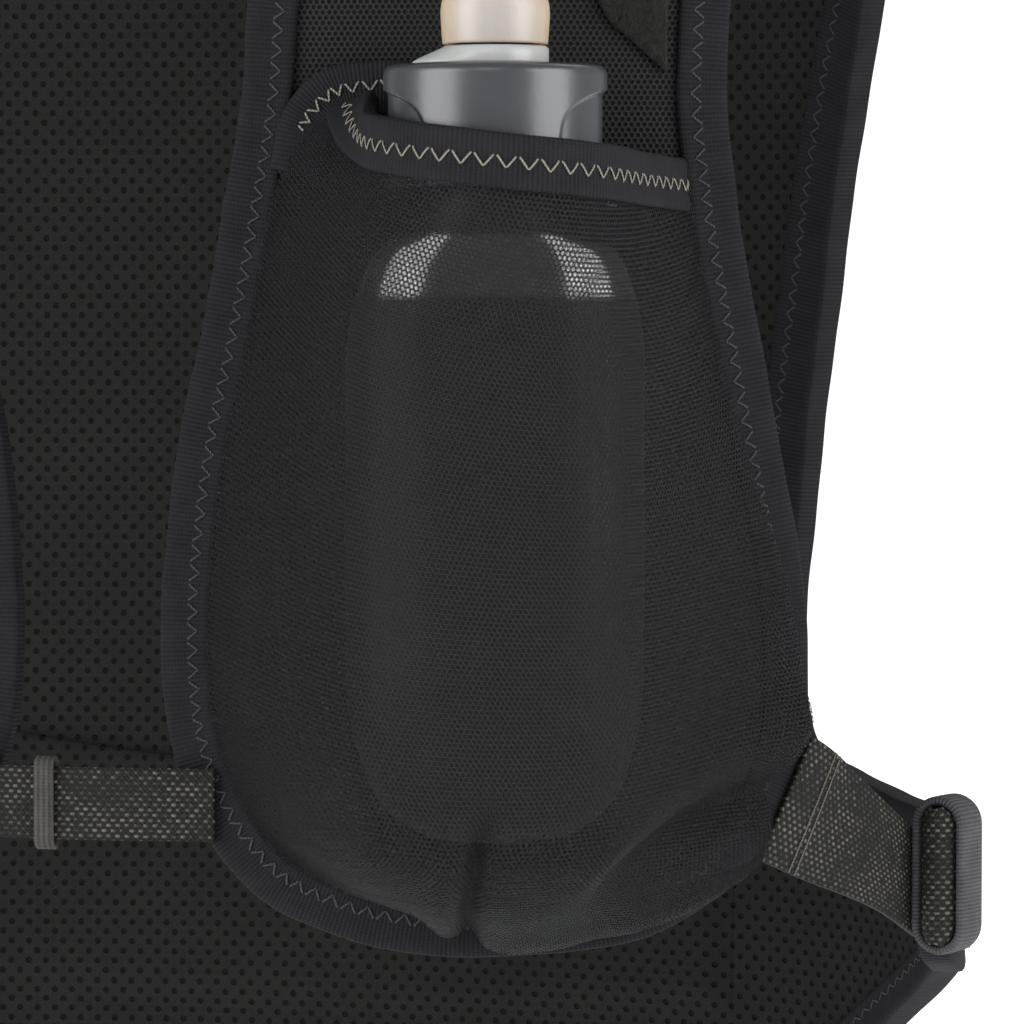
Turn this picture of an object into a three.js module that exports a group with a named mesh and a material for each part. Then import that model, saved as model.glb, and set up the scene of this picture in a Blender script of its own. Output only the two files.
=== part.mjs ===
// A running hydration vest, worn size small to medium, with a soft flask in each chest pocket.
// Millimetres, +Z up. The wearer faces -Y and the wearer's left is +X.
// The origin lies midway between the shoulder straps, at the height where they rest.
import * as THREE from 'three';

// Driving sizes: the torso that the vest wraps, an oval under two rounded shoulders
const torsoHalfWidth = 160;
const torsoHalfDepth = 102;
const torsoSideTuck = 10;
const torsoSideRadius = torsoHalfDepth - torsoSideTuck;
const shoulderRound = 102;
const frontReach = 92;
const frontLean = 0.02;
const backReach = 96;
const backSway = 6;
const backSwayLength = 220;
const shoulderSlope = 0.22;
const shoulderSlopeStart = 50;

// Driving sizes: lengths of cloth from the top of the shoulder
const frontDrop = 391.6;
const backDrop = 449;
const neckHalfWidth = 62;
const neckDrop = 72;
const wingTipRadius = 15;
const hemRise = 7.5;

// Driving sizes: cloth, tape and webbing
const gap = 0.3;
const spacerMesh = 4;
const chestMesh = 1.6;
const powerMesh = 1;
const tape = 1;
const tapeEase = 0.5;
const chestLift = 2;
const chestTapeWidth = 10.5;
const armholeTapeWidth = 14;
const wingTapeWidth = 9;
const mouthTapeWidth = 11;
const lipTapeWidth = 9.5;
const lumbarMesh = 1.5;
const lumbarMargin = 17;
const loopPile = 1.2;
const sternumWebWidth = 15;
const sideWebWidth = 25;
const webbing = 1.4;
const keeperWall = 1;
const keeperWidth = 4.5;
const claspWall = 1.3;
const claspLength = 12;
const ringHeight = 34;
const ringWidth = 12.5;
const ringWall = 2;
const ringBand = 10;

// Driving sizes: the soft flask
const flaskWidth = 60;
const flaskDepth = 34;
const flaskLength = 154;
const flaskWall = 1;
const flaskStandOff = 30.6;
const neckRadius = 14.5;
const capDiameter = 45;
const capHeight = 24.4;
const capWall = 2.4;
const capRecess = 3;
const capTop = -150.6;
const valveBaseHeight = 3.6;
const valveBaseRadius = 10.8;
const valveBaseReach = 6;
const valveHeight = 27;
const valveRadius = 10.8;
const valveBore = 4;

// How finely the round pieces are faceted
const flaskSides = 14;
const capSides = 20;
const valveSides = 14;
const pocketAcross = 12;

// The oval of the torso: a flat arc over the chest and back, a tight arc round each side
const flatRadius = ((torsoHalfWidth - torsoSideRadius) ** 2 + torsoHalfDepth ** 2
  - torsoSideRadius ** 2) / (2 * (torsoHalfDepth - torsoSideRadius));
const flatTurn = Math.atan2(torsoHalfWidth - torsoSideRadius, flatRadius - torsoHalfDepth);
const flatArc = flatRadius * flatTurn;
const halfGirth = flatArc + torsoSideRadius * (Math.PI / 2 - flatTurn);
const shoulderArc = shoulderRound * Math.PI / 2;

function oval(across) {
  const arc = Math.abs(across);
  const sign = Math.sign(across);
  if (arc <= flatArc) {
    const angle = arc / flatRadius;
    const depth = flatRadius * (Math.cos(angle) - 1) + torsoHalfDepth;
    return { x: sign * flatRadius * Math.sin(angle), depth: depth / torsoHalfDepth };
  }
  const angle = flatTurn + (arc - flatArc) / torsoSideRadius;
  const x = torsoHalfWidth - torsoSideRadius + torsoSideRadius * Math.sin(angle);
  return { x: sign * x, depth: torsoSideRadius * Math.cos(angle) / torsoHalfDepth };
}

// A point on the body: across is the arc from the centre line, down is the arc from the
// shoulder's top, negative over the chest and positive over the back
function bodyPoint(across, down) {
  const { x, depth } = oval(across);
  const arc = Math.abs(down);
  const turn = Math.min(arc, shoulderArc) / shoulderRound;
  const fall = Math.max(arc - shoulderArc, 0);
  const chest = frontReach * Math.sin(turn) + frontLean * fall;
  const spine = backReach * Math.sin(turn) + backSway * Math.sin(Math.PI * fall / backSwayLength);
  const slope = shoulderSlope * Math.max(Math.abs(x) - shoulderSlopeStart, 0);
  const z = -shoulderRound * (1 - Math.cos(turn)) - fall - slope * Math.cos(turn) ** 2;
  return new THREE.Vector3(x, (down < 0 ? -chest : spine) * depth, z);
}

const probe = 0.05;

function bodyFrame(across, down) {
  const side = down < 0 ? -1 : 1;
  const start = side * Math.max(Math.abs(down), 2 * probe);
  const sideways = bodyPoint(across + probe, start).sub(bodyPoint(across - probe, start));
  const along = bodyPoint(across, start + probe).sub(bodyPoint(across, start - probe));
  sideways.divideScalar(2 * probe);
  along.divideScalar(2 * probe);
  const out = new THREE.Vector3().crossVectors(sideways, along).normalize();
  return { sideways, along, out };
}

function offBody(across, down, height) {
  return bodyPoint(across, down).addScaledVector(bodyFrame(across, down).out, height);
}

// The length of cloth from the shoulder's top down to a height on the body
function downTo(z) {
  return shoulderArc - shoulderRound - z;
}

// A step of a set length over the body, square to a path and to its left hand side
function stepInside(path, index, distance) {
  const before = path[Math.max(index - 1, 0)];
  const after = path[Math.min(index + 1, path.length - 1)];
  const here = path[index];
  const { sideways, along, out } = bodyFrame(here[0], here[1]);
  const tangent = sideways.clone().multiplyScalar(after[0] - before[0])
    .addScaledVector(along, after[1] - before[1]).normalize();
  const inward = new THREE.Vector3().crossVectors(out, tangent).multiplyScalar(distance);
  const ss = sideways.dot(sideways);
  const st = sideways.dot(along);
  const tt = along.dot(along);
  const bs = sideways.dot(inward);
  const bt = along.dot(inward);
  const det = ss * tt - st * st;
  return [here[0] + (bs * tt - bt * st) / det, here[1] + (bt * ss - bs * st) / det];
}

function inset(path, distance) {
  return path.map((_, index) => {
    const reach = typeof distance === 'function' ? distance(index) : distance;
    return stepInside(path, index, reach);
  });
}

const mix = (a, b, share) => a + (b - a) * share;
const ease = (x) => {
  const t = Math.min(Math.max(x, 0), 1);
  return t * t * (3 - 2 * t);
};

// A mesh from corner points and triangles, turned right side out by its signed volume
function solid(points, faces) {
  let volume = 0;
  for (const [a, b, c] of faces) {
    volume += points[a].dot(new THREE.Vector3().crossVectors(points[b], points[c]));
  }
  const outward = volume < 0 ? faces.map(([a, b, c]) => [a, c, b]) : faces;
  const geometry = new THREE.BufferGeometry();
  const flat = points.flatMap((point) => [point.x, point.y, point.z]);
  geometry.setAttribute('position', new THREE.Float32BufferAttribute(flat, 3));
  geometry.setIndex(outward.flat());
  geometry.computeVertexNormals();
  return geometry;
}

// The two triangles of a four-cornered face, cut along its shorter diagonal
function quad(points, a, b, c, d) {
  if (points[a].distanceToSquared(points[c]) <= points[b].distanceToSquared(points[d])) {
    return [[a, b, c], [a, c, d]];
  }
  return [[a, b, d], [b, c, d]];
}

// A band through closed sections with the same number of points; an open band is closed at
// its ends by a ladder of faces between points that face each other in the section
function loft(sections, closed = false) {
  const count = sections[0].length;
  const points = sections.flat();
  const faces = [];
  const steps = closed ? sections.length : sections.length - 1;
  for (let j = 0; j < steps; j += 1) {
    const here = j * count;
    const next = ((j + 1) % sections.length) * count;
    for (let i = 0; i < count; i += 1) {
      const k = (i + 1) % count;
      faces.push(...quad(points, here + i, here + k, next + k, next + i));
    }
  }
  if (!closed) {
    const last = (sections.length - 1) * count;
    for (let i = 0; i < count / 2 - 1; i += 1) {
      const j = count - 1 - i;
      faces.push([i, j, j - 1], [i, j - 1, i + 1]);
      faces.push([last + i, last + j - 1, last + j], [last + i, last + i + 1, last + j - 1]);
    }
  }
  return solid(points, faces);
}

// A sheet of cloth from patches of places: two skins, and a rim round every free edge.
// Patches that meet share the places along their common edge.
function sheet(patches, place) {
  const index = new Map();
  const upper = [];
  const lower = [];
  const find = (spot) => {
    const key = spot.map((value) => value.toFixed(4)).join(' ');
    if (!index.has(key)) {
      index.set(key, upper.length);
      upper.push(place(spot, 1));
      lower.push(place(spot, -1));
    }
    return index.get(key);
  };
  const triangles = [];
  for (const rows of patches) {
    for (let j = 0; j < rows.length - 1; j += 1) {
      for (let i = 0; i < rows[j].length - 1; i += 1) {
        const a = find(rows[j][i]);
        const b = find(rows[j][i + 1]);
        const c = find(rows[j + 1][i + 1]);
        const d = find(rows[j + 1][i]);
        triangles.push(...quad(upper, a, b, c, d));
      }
    }
  }
  const kept = triangles.filter(([a, b, c]) => a !== b && b !== c && a !== c);
  const edges = new Map();
  for (const [a, b, c] of kept) {
    for (const [from, to] of [[a, b], [b, c], [c, a]]) {
      if (edges.has(`${to} ${from}`)) edges.delete(`${to} ${from}`);
      else edges.set(`${from} ${to}`, [from, to]);
    }
  }
  const under = upper.length;
  const faces = kept.flatMap(([a, b, c]) => [[a, b, c], [under + a, under + c, under + b]]);
  for (const [from, to] of edges.values()) {
    faces.push([from, under + from, under + to], [from, under + to, to]);
  }
  return solid([...upper, ...lower], faces);
}

// A patch of places between two side edges that run down, and an edge across its foot. The
// inner places lie between the sides and sink onto the foot over the last rows. The first and
// last columns are as wide as the tape, so that cloth and tape have the same facets.
function patch(left, right, foot, leg, sink) {
  const rows = left.length - 1;
  const columns = foot.length - 1;
  return left.map((from, j) => {
    const to = right[j];
    const tapeShare = leg / Math.hypot(to[0] - from[0], to[1] - from[1]);
    const weight = (j / rows) ** sink;
    const share = (i) => {
      if (i === 0 || i === columns) return i / columns;
      return mix(tapeShare, 1 - tapeShare, (i - 1) / (columns - 2));
    };
    return foot.map((low, i) => [0, 1].map((axis) => (
      mix(mix(from[axis], to[axis], share(i)),
        low[axis] + mix(from[axis] - left[rows][axis], to[axis] - right[rows][axis], i / columns),
        weight))));
  });
}

function line(from, to, steps) {
  return Array.from({ length: steps + 1 }, (_, i) => (
    [mix(from[0], to[0], i / steps), mix(from[1], to[1], i / steps)]));
}

// Folded tape: a U round a cloth edge, its legs on both faces and its fold past the edge
function foldedTape(stations) {
  return loft(stations.map(({ edge, inward, out, leg, half, clear = gap }) => {
    const spot = (along, height) => edge.clone()
      .addScaledVector(inward, along).addScaledVector(out, height);
    const outer = half + clear + tape;
    const inner = half + clear;
    return [
      spot(leg, outer), spot(-clear - tape, outer), spot(-clear - tape, -outer), spot(leg, -outer),
      spot(leg, -inner), spot(-clear, -inner), spot(-clear, inner), spot(leg, inner),
    ];
  }));
}

// The same tape along a path over the body, its fold on the path itself
function bodyTape(path, leg, height, half) {
  const legEnd = inset(path, leg);
  const foldInside = inset(path, tape);
  const outer = half + tapeEase + tape;
  const inner = half + tapeEase;
  return loft(path.map((here, index) => {
    const spot = (place, lift) => offBody(place[0], place[1], height + lift);
    const end = legEnd[index];
    const fold = foldInside[index];
    return [
      spot(end, outer), spot(here, outer), spot(here, -outer), spot(end, -outer),
      spot(end, -inner), spot(fold, -inner), spot(fold, inner), spot(end, inner),
    ];
  }));
}

// A closed band round an axis, its section a list of radius and height pairs
function turned(section, sides, centre, radiusAt = (radius) => radius) {
  const rings = Array.from({ length: sides }, (_, k) => {
    const angle = 2 * Math.PI * k / sides;
    return section.map(([radius, z]) => {
      const reach = radiusAt(radius, z, angle);
      return centre.clone().add(new THREE.Vector3(
        reach * Math.sin(angle), -reach * Math.cos(angle), z));
    });
  });
  return loft(rings, true);
}

const group = new THREE.Group();

const finishes = {
  spacer: { color: 0x242423, roughness: 0.9, metalness: 0 },
  chest: { color: 0x2a2a2b, roughness: 0.85, metalness: 0 },
  power: { color: 0x2e2e30, roughness: 0.8, metalness: 0 },
  tape: { color: 0x1f1f23, roughness: 0.85, metalness: 0 },
  pile: { color: 0x2b2b28, roughness: 0.95, metalness: 0 },
  web: { color: 0x33312e, roughness: 0.9, metalness: 0 },
  knit: { color: 0x55555a, roughness: 0.9, metalness: 0 },
  clasp: { color: 0x1c1c1e, roughness: 0.45, metalness: 0 },
  flask: { color: 0xc9ccd0, roughness: 0.35, metalness: 0 },
  cap: { color: 0x5a5d66, roughness: 0.3, metalness: 0 },
  seat: { color: 0xd6d2cc, roughness: 0.4, metalness: 0 },
  valve: { color: 0xd9cfc2, roughness: 0.45, metalness: 0 },
};

function add(name, geometry, finish) {
  const mesh = new THREE.Mesh(geometry, new THREE.MeshStandardMaterial(finishes[finish]));
  mesh.name = name;
  group.add(mesh);
}

// Places of a mirrored pair are worked out for the wearer's left and turned over for the right
function mirrored(geometry, side) {
  if (side > 0) return geometry;
  const flipped = geometry.clone();
  flipped.scale(-1, 1, 1);
  const order = Array.from(flipped.index.array);
  for (let i = 0; i < order.length; i += 3) {
    [order[i + 1], order[i + 2]] = [order[i + 2], order[i + 1]];
  }
  flipped.setIndex(order);
  return flipped;
}

// Chest panel: rows down the panel, as shares of the front drop and of the half girth
const chestEdges = [
  { down: 0.0005, inner: 0.2904, outer: 0.5527 },
  { down: 0.0638, inner: 0.2834, outer: 0.5597 },
  { down: 0.1277, inner: 0.2670, outer: 0.5714 },
  { down: 0.1915, inner: 0.2482, outer: 0.5855 },
  { down: 0.2554, inner: 0.2295, outer: 0.5995 },
  { down: 0.3192, inner: 0.2108, outer: 0.6112 },
  { down: 0.3830, inner: 0.1920, outer: 0.6197 },
  { down: 0.4392, inner: 0.1733, outer: 0.6230 },
  { down: 0.4959, inner: 0.1564, outer: 0.6215 },
  { down: 0.5485, inner: 0.1490, outer: 0.6180 },
  { down: 0.6011, inner: 0.1340, outer: 0.6290 },
  { down: 0.6698, inner: 0.1115, outer: 0.6530 },
  { down: 0.7280, inner: 0.0898, outer: 0.6755 },
  { down: 0.7814, inner: 0.0768, outer: 0.6980 },
  { down: 0.8396, inner: 0.0726, outer: 0.7110 },
  { down: 0.8871, inner: 0.0815, outer: 0.7080 },
  { down: 0.9193, inner: 0.1010, outer: 0.6880 },
  { down: 0.9451, inner: 0.1280, outer: 0.6580 },
];
const chestHem = [
  { across: 0.1710, down: 0.9704 },
  { across: 0.2379, down: 0.9880 },
  { across: 0.3059, down: 0.9970 },
  { across: 0.3831, down: 1.0000 },
  { across: 0.4600, down: 0.9975 },
  { across: 0.5363, down: 0.9905 },
  { across: 0.6040, down: 0.9730 },
];

const chestInner = chestEdges.map((row) => [row.inner * halfGirth, -row.down * frontDrop]);
const chestOuter = chestEdges.map((row) => [row.outer * halfGirth, -row.down * frontDrop]);
const chestBottom = chestHem.map((row) => [row.across * halfGirth, -row.down * frontDrop]);
const chestRows = chestEdges.length;
const chestOutline = [...chestInner, ...chestBottom, ...[...chestOuter].reverse()];
const tuck = tape + tapeEase;
const chestMid = chestLift + chestMesh / 2;
const chestFace = chestLift + chestMesh;
const chestTapeFace = chestFace + tapeEase + tape;

// Soft upright folds in the upper chest panel, high between the two edges
const chestFolds = [
  { across: 0.30, width: 0.030, height: 1.1 },
  { across: 0.45, width: 0.028, height: 1.3 },
];
const foldTop = 0.22;
const foldEnd = 0.50;

function foldLift(across, down) {
  const share = Math.abs(down) / frontDrop;
  const window = ease((share - foldTop) * 8) * ease((foldEnd - share) * 12);
  return window * chestMesh * chestFolds.reduce((sum, fold) => sum
    + fold.height * Math.exp(-(((across / halfGirth - fold.across) / fold.width) ** 2)), 0);
}

function chestPanel() {
  const edge = inset(chestOutline, tuck);
  const left = edge.slice(0, chestRows);
  const right = edge.slice(-chestRows).reverse();
  const foot = [left[chestRows - 1], ...edge.slice(chestRows, -chestRows), right[chestRows - 1]];
  return sheet([patch(left, right, foot, chestTapeWidth - tuck, 6)], ([across, down], face) => (
    offBody(across, down, chestMid + face * chestMesh / 2 + foldLift(across, down))));
}

// Pouch rows, from the mouth down. Left and right are how far down its sewn edges the row
// starts and ends, dip is how far its middle hangs, and wide and deep are the half sizes
// of what fills it, as shares of the flask; shift moves that filling back towards the chest.
const pouchRows = [
  { left: 0.5434, right: 0.5802, dip: -2.5, wide: 0.843, deep: 1.488, shift: 0, full: 0.03 },
  { left: 0.5508, right: 0.5981, dip: -10, wide: 0.843, deep: 1.488, shift: 0, full: 0.05 },
  { left: 0.5659, right: 0.6287, dip: -14, wide: 0.935, deep: 1.38, shift: 0, full: 0.08 },
  { left: 0.6021, right: 0.6645, dip: -15, wide: 1.05, deep: 1.21, shift: 0, full: 0.12 },
  { left: 0.6520, right: 0.7053, dip: -14, wide: 1.075, deep: 1.12, shift: 0, full: 0.16 },
  { left: 0.7053, right: 0.7462, dip: -12, wide: 1.08, deep: 1.10, shift: 0, full: 0.20 },
  { left: 0.7564, right: 0.7845, dip: -10, wide: 1.08, deep: 1.09, shift: 0, full: 0.24 },
  { left: 0.8049, right: 0.8228, dip: -10, wide: 1.08, deep: 1.09, shift: 0, full: 0.28 },
  { left: 0.8509, right: 0.8585, dip: -10, wide: 1.06, deep: 1.07, shift: 0, full: 0.30 },
  { left: 0.8892, right: 0.8892, dip: -11, wide: 0.97, deep: 0.94, shift: 0, full: 0.30 },
  { left: 0.9172, right: 0.9121, dip: -14, wide: 0.90, deep: 0.62, shift: 0, full: 0.30 },
  { left: 0.9326, right: 0.9249, dip: -17, wide: 0.80, deep: 0.48, shift: 0.32, full: 0.30 },
];
const lipRows = [
  { across: 0.2829, down: 0.5434 },
  { across: 0.2515, down: 0.5508 },
  { across: 0.2190, down: 0.5659 },
];
const pouchInset = chestTapeWidth + gap + powerMesh / 2 + tape + gap;
const pouchAcrossShare = 0.3977;
const pouchMiddle = downTo(capTop - 9);
const wallRise = 2 * (tape + tapeEase) + powerMesh;
const backWallMid = chestFace + gap + wallRise / 2;
const pouchFoot = chestFace + gap + powerMesh / 2 + gap;
const lipFoot = backWallMid + wallRise / 2 + powerMesh / 2 + 4 * gap;

// The flask stands on a vertical axis that faces as the chest does behind it
const axisSpot = offBody(pouchAcrossShare * halfGirth, -pouchMiddle, flaskStandOff);
const facing = bodyFrame(pouchAcrossShare * halfGirth, -pouchMiddle).out.setZ(0).normalize();
const lateral = new THREE.Vector3(-facing.y, facing.x, 0);
const facingAngle = Math.atan2(facing.x, -facing.y);
const onAxis = (wide, ahead, z) => new THREE.Vector3(axisSpot.x, axisSpot.y, z)
  .addScaledVector(lateral, wide).addScaledVector(facing, ahead);

// Where a path that runs down the chest reaches a share of the front drop
function placeAt(path, share) {
  const depth = -share * frontDrop;
  const index = path.findIndex((place) => place[1] <= depth);
  const next = index < 0 ? path.length - 1 : Math.max(index, 1);
  const [from, to] = [path[next - 1], path[next]];
  const part = (depth - from[1]) / (to[1] - from[1]);
  return [mix(from[0], to[0], part), depth];
}

const sewnLine = inset(chestOutline, pouchInset);
const sewnInner = sewnLine.slice(0, chestRows);
const sewnOuter = sewnLine.slice(-chestRows).reverse();
const sewnBottom = sewnLine.slice(chestRows - 1, -chestRows + 1);

// One row of the pouch: taut from its left foot round the filling to its right foot, mixed
// with a half oval of the same reach by the share called full
function pouchRow(row, index) {
  const onLip = index < lipRows.length;
  const leftSpot = onLip
    ? [lipRows[index].across * halfGirth, -lipRows[index].down * frontDrop]
    : placeAt(sewnInner, row.left);
  const rightSpot = placeAt(sewnOuter, row.right);
  const from = offBody(leftSpot[0], leftSpot[1], onLip ? lipFoot : pouchFoot);
  const to = offBody(rightSpot[0], rightSpot[1], pouchFoot);
  const wide = row.wide * flaskWidth / 2;
  const deep = row.deep * flaskDepth / 2;
  const back = row.shift * flaskDepth;
  const local = (point) => {
    const offset = point.clone().sub(axisSpot);
    return [offset.dot(lateral) / wide, (offset.dot(facing) + back) / deep];
  };
  const turnFrom = (point, sign) => {
    const [x, y] = local(point);
    return Math.atan2(y, x) + sign * Math.acos(1 / Math.hypot(x, y));
  };
  const start = turnFrom(from, -1);
  const end = turnFrom(to, 1);
  const wrapped = start < end ? start + 2 * Math.PI : start;
  const arcSteps = 32;
  const taut = [from.clone().setZ(0)];
  for (let k = 0; k <= arcSteps; k += 1) {
    const angle = mix(wrapped, end, k / arcSteps);
    taut.push(onAxis(wide * Math.cos(angle), deep * Math.sin(angle) - back, 0));
  }
  taut.push(to.clone().setZ(0));
  const lengths = [0];
  for (let k = 1; k < taut.length; k += 1) {
    lengths.push(lengths[k - 1] + taut[k].distanceTo(taut[k - 1]));
  }
  const total = lengths[lengths.length - 1];
  const middle = from.clone().add(to).multiplyScalar(0.5).setZ(0);
  const halfSpan = to.clone().sub(from).multiplyScalar(0.5).setZ(0);
  const front = deep - back - middle.clone().sub(axisSpot).dot(facing);
  return Array.from({ length: pocketAcross + 1 }, (_, i) => {
    const share = i / pocketAcross;
    const reach = share * total;
    let k = 1;
    while (k < lengths.length - 1 && lengths[k] < reach) k += 1;
    const part = (reach - lengths[k - 1]) / (lengths[k] - lengths[k - 1]);
    const tautPoint = taut[k - 1].clone().lerp(taut[k], part);
    const swing = Math.PI * share;
    const round = middle.clone().addScaledVector(halfSpan, -Math.cos(swing))
      .addScaledVector(facing, front * Math.sin(swing));
    const point = tautPoint.lerp(round, row.full * Math.sin(swing));
    return point.setZ(mix(from.z, to.z, share) + row.dip * Math.sin(swing));
  });
}

const pouchBottom = sewnBottom.map(([across, down]) => offBody(across, down, pouchFoot));

function bottomRow() {
  const curve = new THREE.CatmullRomCurve3(pouchBottom);
  return Array.from({ length: pocketAcross + 1 }, (_, i) => curve.getPointAt(i / pocketAcross));
}

// The pleat at the pouch's foot and the crease on its outer side, as shares across and down
const pouchDents = [
  { across: 0.42, from: 0.74, to: 1.02, width: 0.045, depth: 2.6, slant: -0.10 },
  { across: 0.80, from: 0.62, to: 0.96, width: 0.06, depth: 2.4, slant: -0.45 },
];

const pouchGrid = [...pouchRows.map(pouchRow), bottomRow()];

function gridNormal(rows, j, i) {
  const down = rows[Math.min(j + 1, rows.length - 1)][i].clone().sub(rows[Math.max(j - 1, 0)][i]);
  const line0 = rows[j];
  const across = line0[Math.min(i + 1, line0.length - 1)].clone().sub(line0[Math.max(i - 1, 0)]);
  return new THREE.Vector3().crossVectors(down, across).normalize();
}

function dentAt(i, j) {
  const u = i / pocketAcross;
  const v = j / (pouchGrid.length - 1);
  return pouchDents.reduce((sum, dent) => {
    const centre = dent.across + dent.slant * (v - dent.from);
    const window = ease((v - dent.from) * 6) * ease((dent.to - v) * 8);
    return sum + dent.depth * window * Math.exp(-(((u - centre) / dent.width) ** 2));
  }, 0);
}

const pouchNormals = pouchGrid.map((row, j) => row.map((_, i) => gridNormal(pouchGrid, j, i)));
const pouchSurface = pouchGrid.map((row, j) => row.map((point, i) => (
  point.clone().addScaledVector(pouchNormals[j][i], -dentAt(i, j)))));

function flaskPocket() {
  const places = pouchSurface.map((row, j) => row.map((_, i) => [i, j]));
  return sheet([places], ([i, j], face) => (
    pouchSurface[j][i].clone().addScaledVector(pouchNormals[j][i], face * powerMesh / 2)));
}

function mouthBinding() {
  const stations = pouchSurface[0].map((edge, i) => {
    const inward = pouchSurface[1][i].clone().sub(edge);
    const room = inward.length();
    inward.normalize();
    const along = pouchSurface[0][Math.min(i + 1, pocketAcross)].clone()
      .sub(pouchSurface[0][Math.max(i - 1, 0)]);
    const out = new THREE.Vector3().crossVectors(inward, along).normalize();
    return { edge, inward, out, leg: Math.min(mouthTapeWidth, room), half: powerMesh / 2 };
  });
  return foldedTape(stations);
}

// Rear wall of the pouch: an arch of tape at its top, and a bulge that meets the flask
const lipArch = [
  { across: 0.2080, down: 0.5760 },
  { across: 0.2220, down: 0.5500 },
  { across: 0.2540, down: 0.5365 },
  { across: 0.2950, down: 0.5325 },
  { across: 0.3430, down: 0.5345 },
  { across: 0.3920, down: 0.5400 },
  { across: 0.4420, down: 0.5520 },
  { across: 0.4860, down: 0.5700 },
  { across: 0.5200, down: 0.5930 },
  { across: 0.5460, down: 0.6200 },
];
const wallSides = [
  { left: 0.2440, right: 0.5300, leftDown: 0.6300, rightDown: 0.6700 },
  { left: 0.2080, right: 0.5700, leftDown: 0.7000, rightDown: 0.7200 },
  { left: 0.1900, right: 0.5900, leftDown: 0.7700, rightDown: 0.7800 },
  { left: 0.1900, right: 0.5950, leftDown: 0.8350, rightDown: 0.8350 },
  { left: 0.2150, right: 0.5800, leftDown: 0.8950, rightDown: 0.8850 },
];
const wallTopRise = 0.045;
const archPath = lipArch.map((row) => [row.across * halfGirth, -row.down * frontDrop]).reverse();
const wallTouch = flaskStandOff - flaskDepth / 2 - gap - powerMesh / 2;
const wallSpan = 42;
const bulgeTop = 0.645;
const bulgeFull = 0.70;
const bulgeLow = 0.84;
const bulgeEnd = 0.895;

function wallHeight(across, down) {
  const share = -down / frontDrop;
  const offset = (across - pouchAcrossShare * halfGirth) / wallSpan;
  const window = ease((share - bulgeTop) / (bulgeFull - bulgeTop))
    * ease((bulgeEnd - share) / (bulgeEnd - bulgeLow));
  const lean = bodyPoint(across, down).sub(bodyPoint(across, -pouchMiddle)).dot(facing);
  const round = Math.max(1 - offset * offset, 0) ** 2;
  return backWallMid + Math.max(wallTouch - backWallMid - Math.max(lean, 0), 0) * window * round;
}

function pocketBack() {
  const arch = inset(archPath, tuck).reverse();
  const columns = arch.length - 1;
  const last = wallSides[wallSides.length - 1];
  const rows = [arch, inset(archPath, lipTapeWidth).reverse(), ...wallSides.map((row) => (
    Array.from({ length: columns + 1 }, (_, i) => {
      const share = i / columns;
      const belly = (last.leftDown - row.leftDown) / (last.leftDown - wallSides[0].leftDown);
      const hollow = wallTopRise * belly * Math.sin(Math.PI * share);
      return [mix(row.left, row.right, share) * halfGirth,
        -(mix(row.leftDown, row.rightDown, share) - hollow) * frontDrop];
    })))];
  return sheet([rows], ([across, down], face) => (
    offBody(across, down, wallHeight(across, down) + face * powerMesh / 2)));
}

// Soft flask: a round neck under the cap, shoulders, a flattened body and a rounded foot.
// Down is a share of the flask's length; wide and deep are shares of its half sizes.
const flaskRows = [
  { down: 0.150, wide: 0.483, deep: 0.853 },
  { down: 0.178, wide: 0.560, deep: 0.860 },
  { down: 0.225, wide: 0.830, deep: 0.880 },
  { down: 0.310, wide: 0.970, deep: 0.960 },
  { down: 0.480, wide: 1.000, deep: 1.000 },
  { down: 0.710, wide: 1.000, deep: 1.000 },
  { down: 0.860, wide: 0.950, deep: 0.910 },
  { down: 0.945, wide: 0.780, deep: 0.700 },
  { down: 0.985, wide: 0.520, deep: 0.400 },
];
const neckTop = capTop - capWall - gap;

function flaskBody() {
  const rows = flaskRows.map((row) => ({
    z: neckTop - row.down * flaskLength,
    wide: row.wide * flaskWidth / 2,
    deep: row.deep * flaskDepth / 2,
  }));
  const neck = { z: neckTop, wide: neckRadius, deep: neckRadius };
  const foot = neckTop - flaskLength;
  const outer = [neck, ...rows];
  return loft(Array.from({ length: flaskSides }, (_, k) => {
    const angle = 2 * Math.PI * k / flaskSides;
    const spot = (row, wall) => onAxis(
      (row.wide - wall) * Math.cos(angle), (row.deep - wall) * Math.sin(angle), row.z);
    const skin = outer.map((row) => spot(row, 0));
    const inside = outer.map((row) => spot(row, flaskWall)).reverse();
    inside[0].z += flaskWall;
    const tip = onAxis(0, 0, foot);
    const pit = onAxis(0, 0, foot + 2 * flaskWall);
    return [...skin, tip, pit, ...inside];
  }), true);
}

// Screw cap: a hollow cup over the neck, its skirt hollowed by a finger recess on each side
const capRadius = capDiameter / 2;
const capInside = neckRadius + gap * 2;
const recessTop = 0.26;
const recessHalfAngle = 0.72;

function flaskCap() {
  const skirt = [0, 0.04, recessTop, 0.45, 0.72, 1];
  const section = [
    [valveBore + gap, 0], [capRadius - 1, 0],
    ...skirt.slice(1).map((share) => [capRadius, -share * capHeight]),
    [capInside, -capHeight], [capInside, -capWall], [valveBore + gap, -capWall],
  ];
  const hollow = (radius, z, angle) => {
    if (radius < capRadius) return radius;
    const share = (-z / capHeight - recessTop) / (1 - recessTop);
    const open = recessHalfAngle * Math.sqrt(Math.max(share, 0));
    const off = Math.abs(Math.abs(Math.atan2(Math.sin(angle - facingAngle),
      Math.cos(angle - facingAngle))) - Math.PI / 2);
    return radius - capRecess * ease((open - off) / 0.35 + 0.5) * ease(share * 4);
  };
  const centre = new THREE.Vector3(axisSpot.x, axisSpot.y, capTop);
  return turned(section, capSides, centre, hollow);
}

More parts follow.
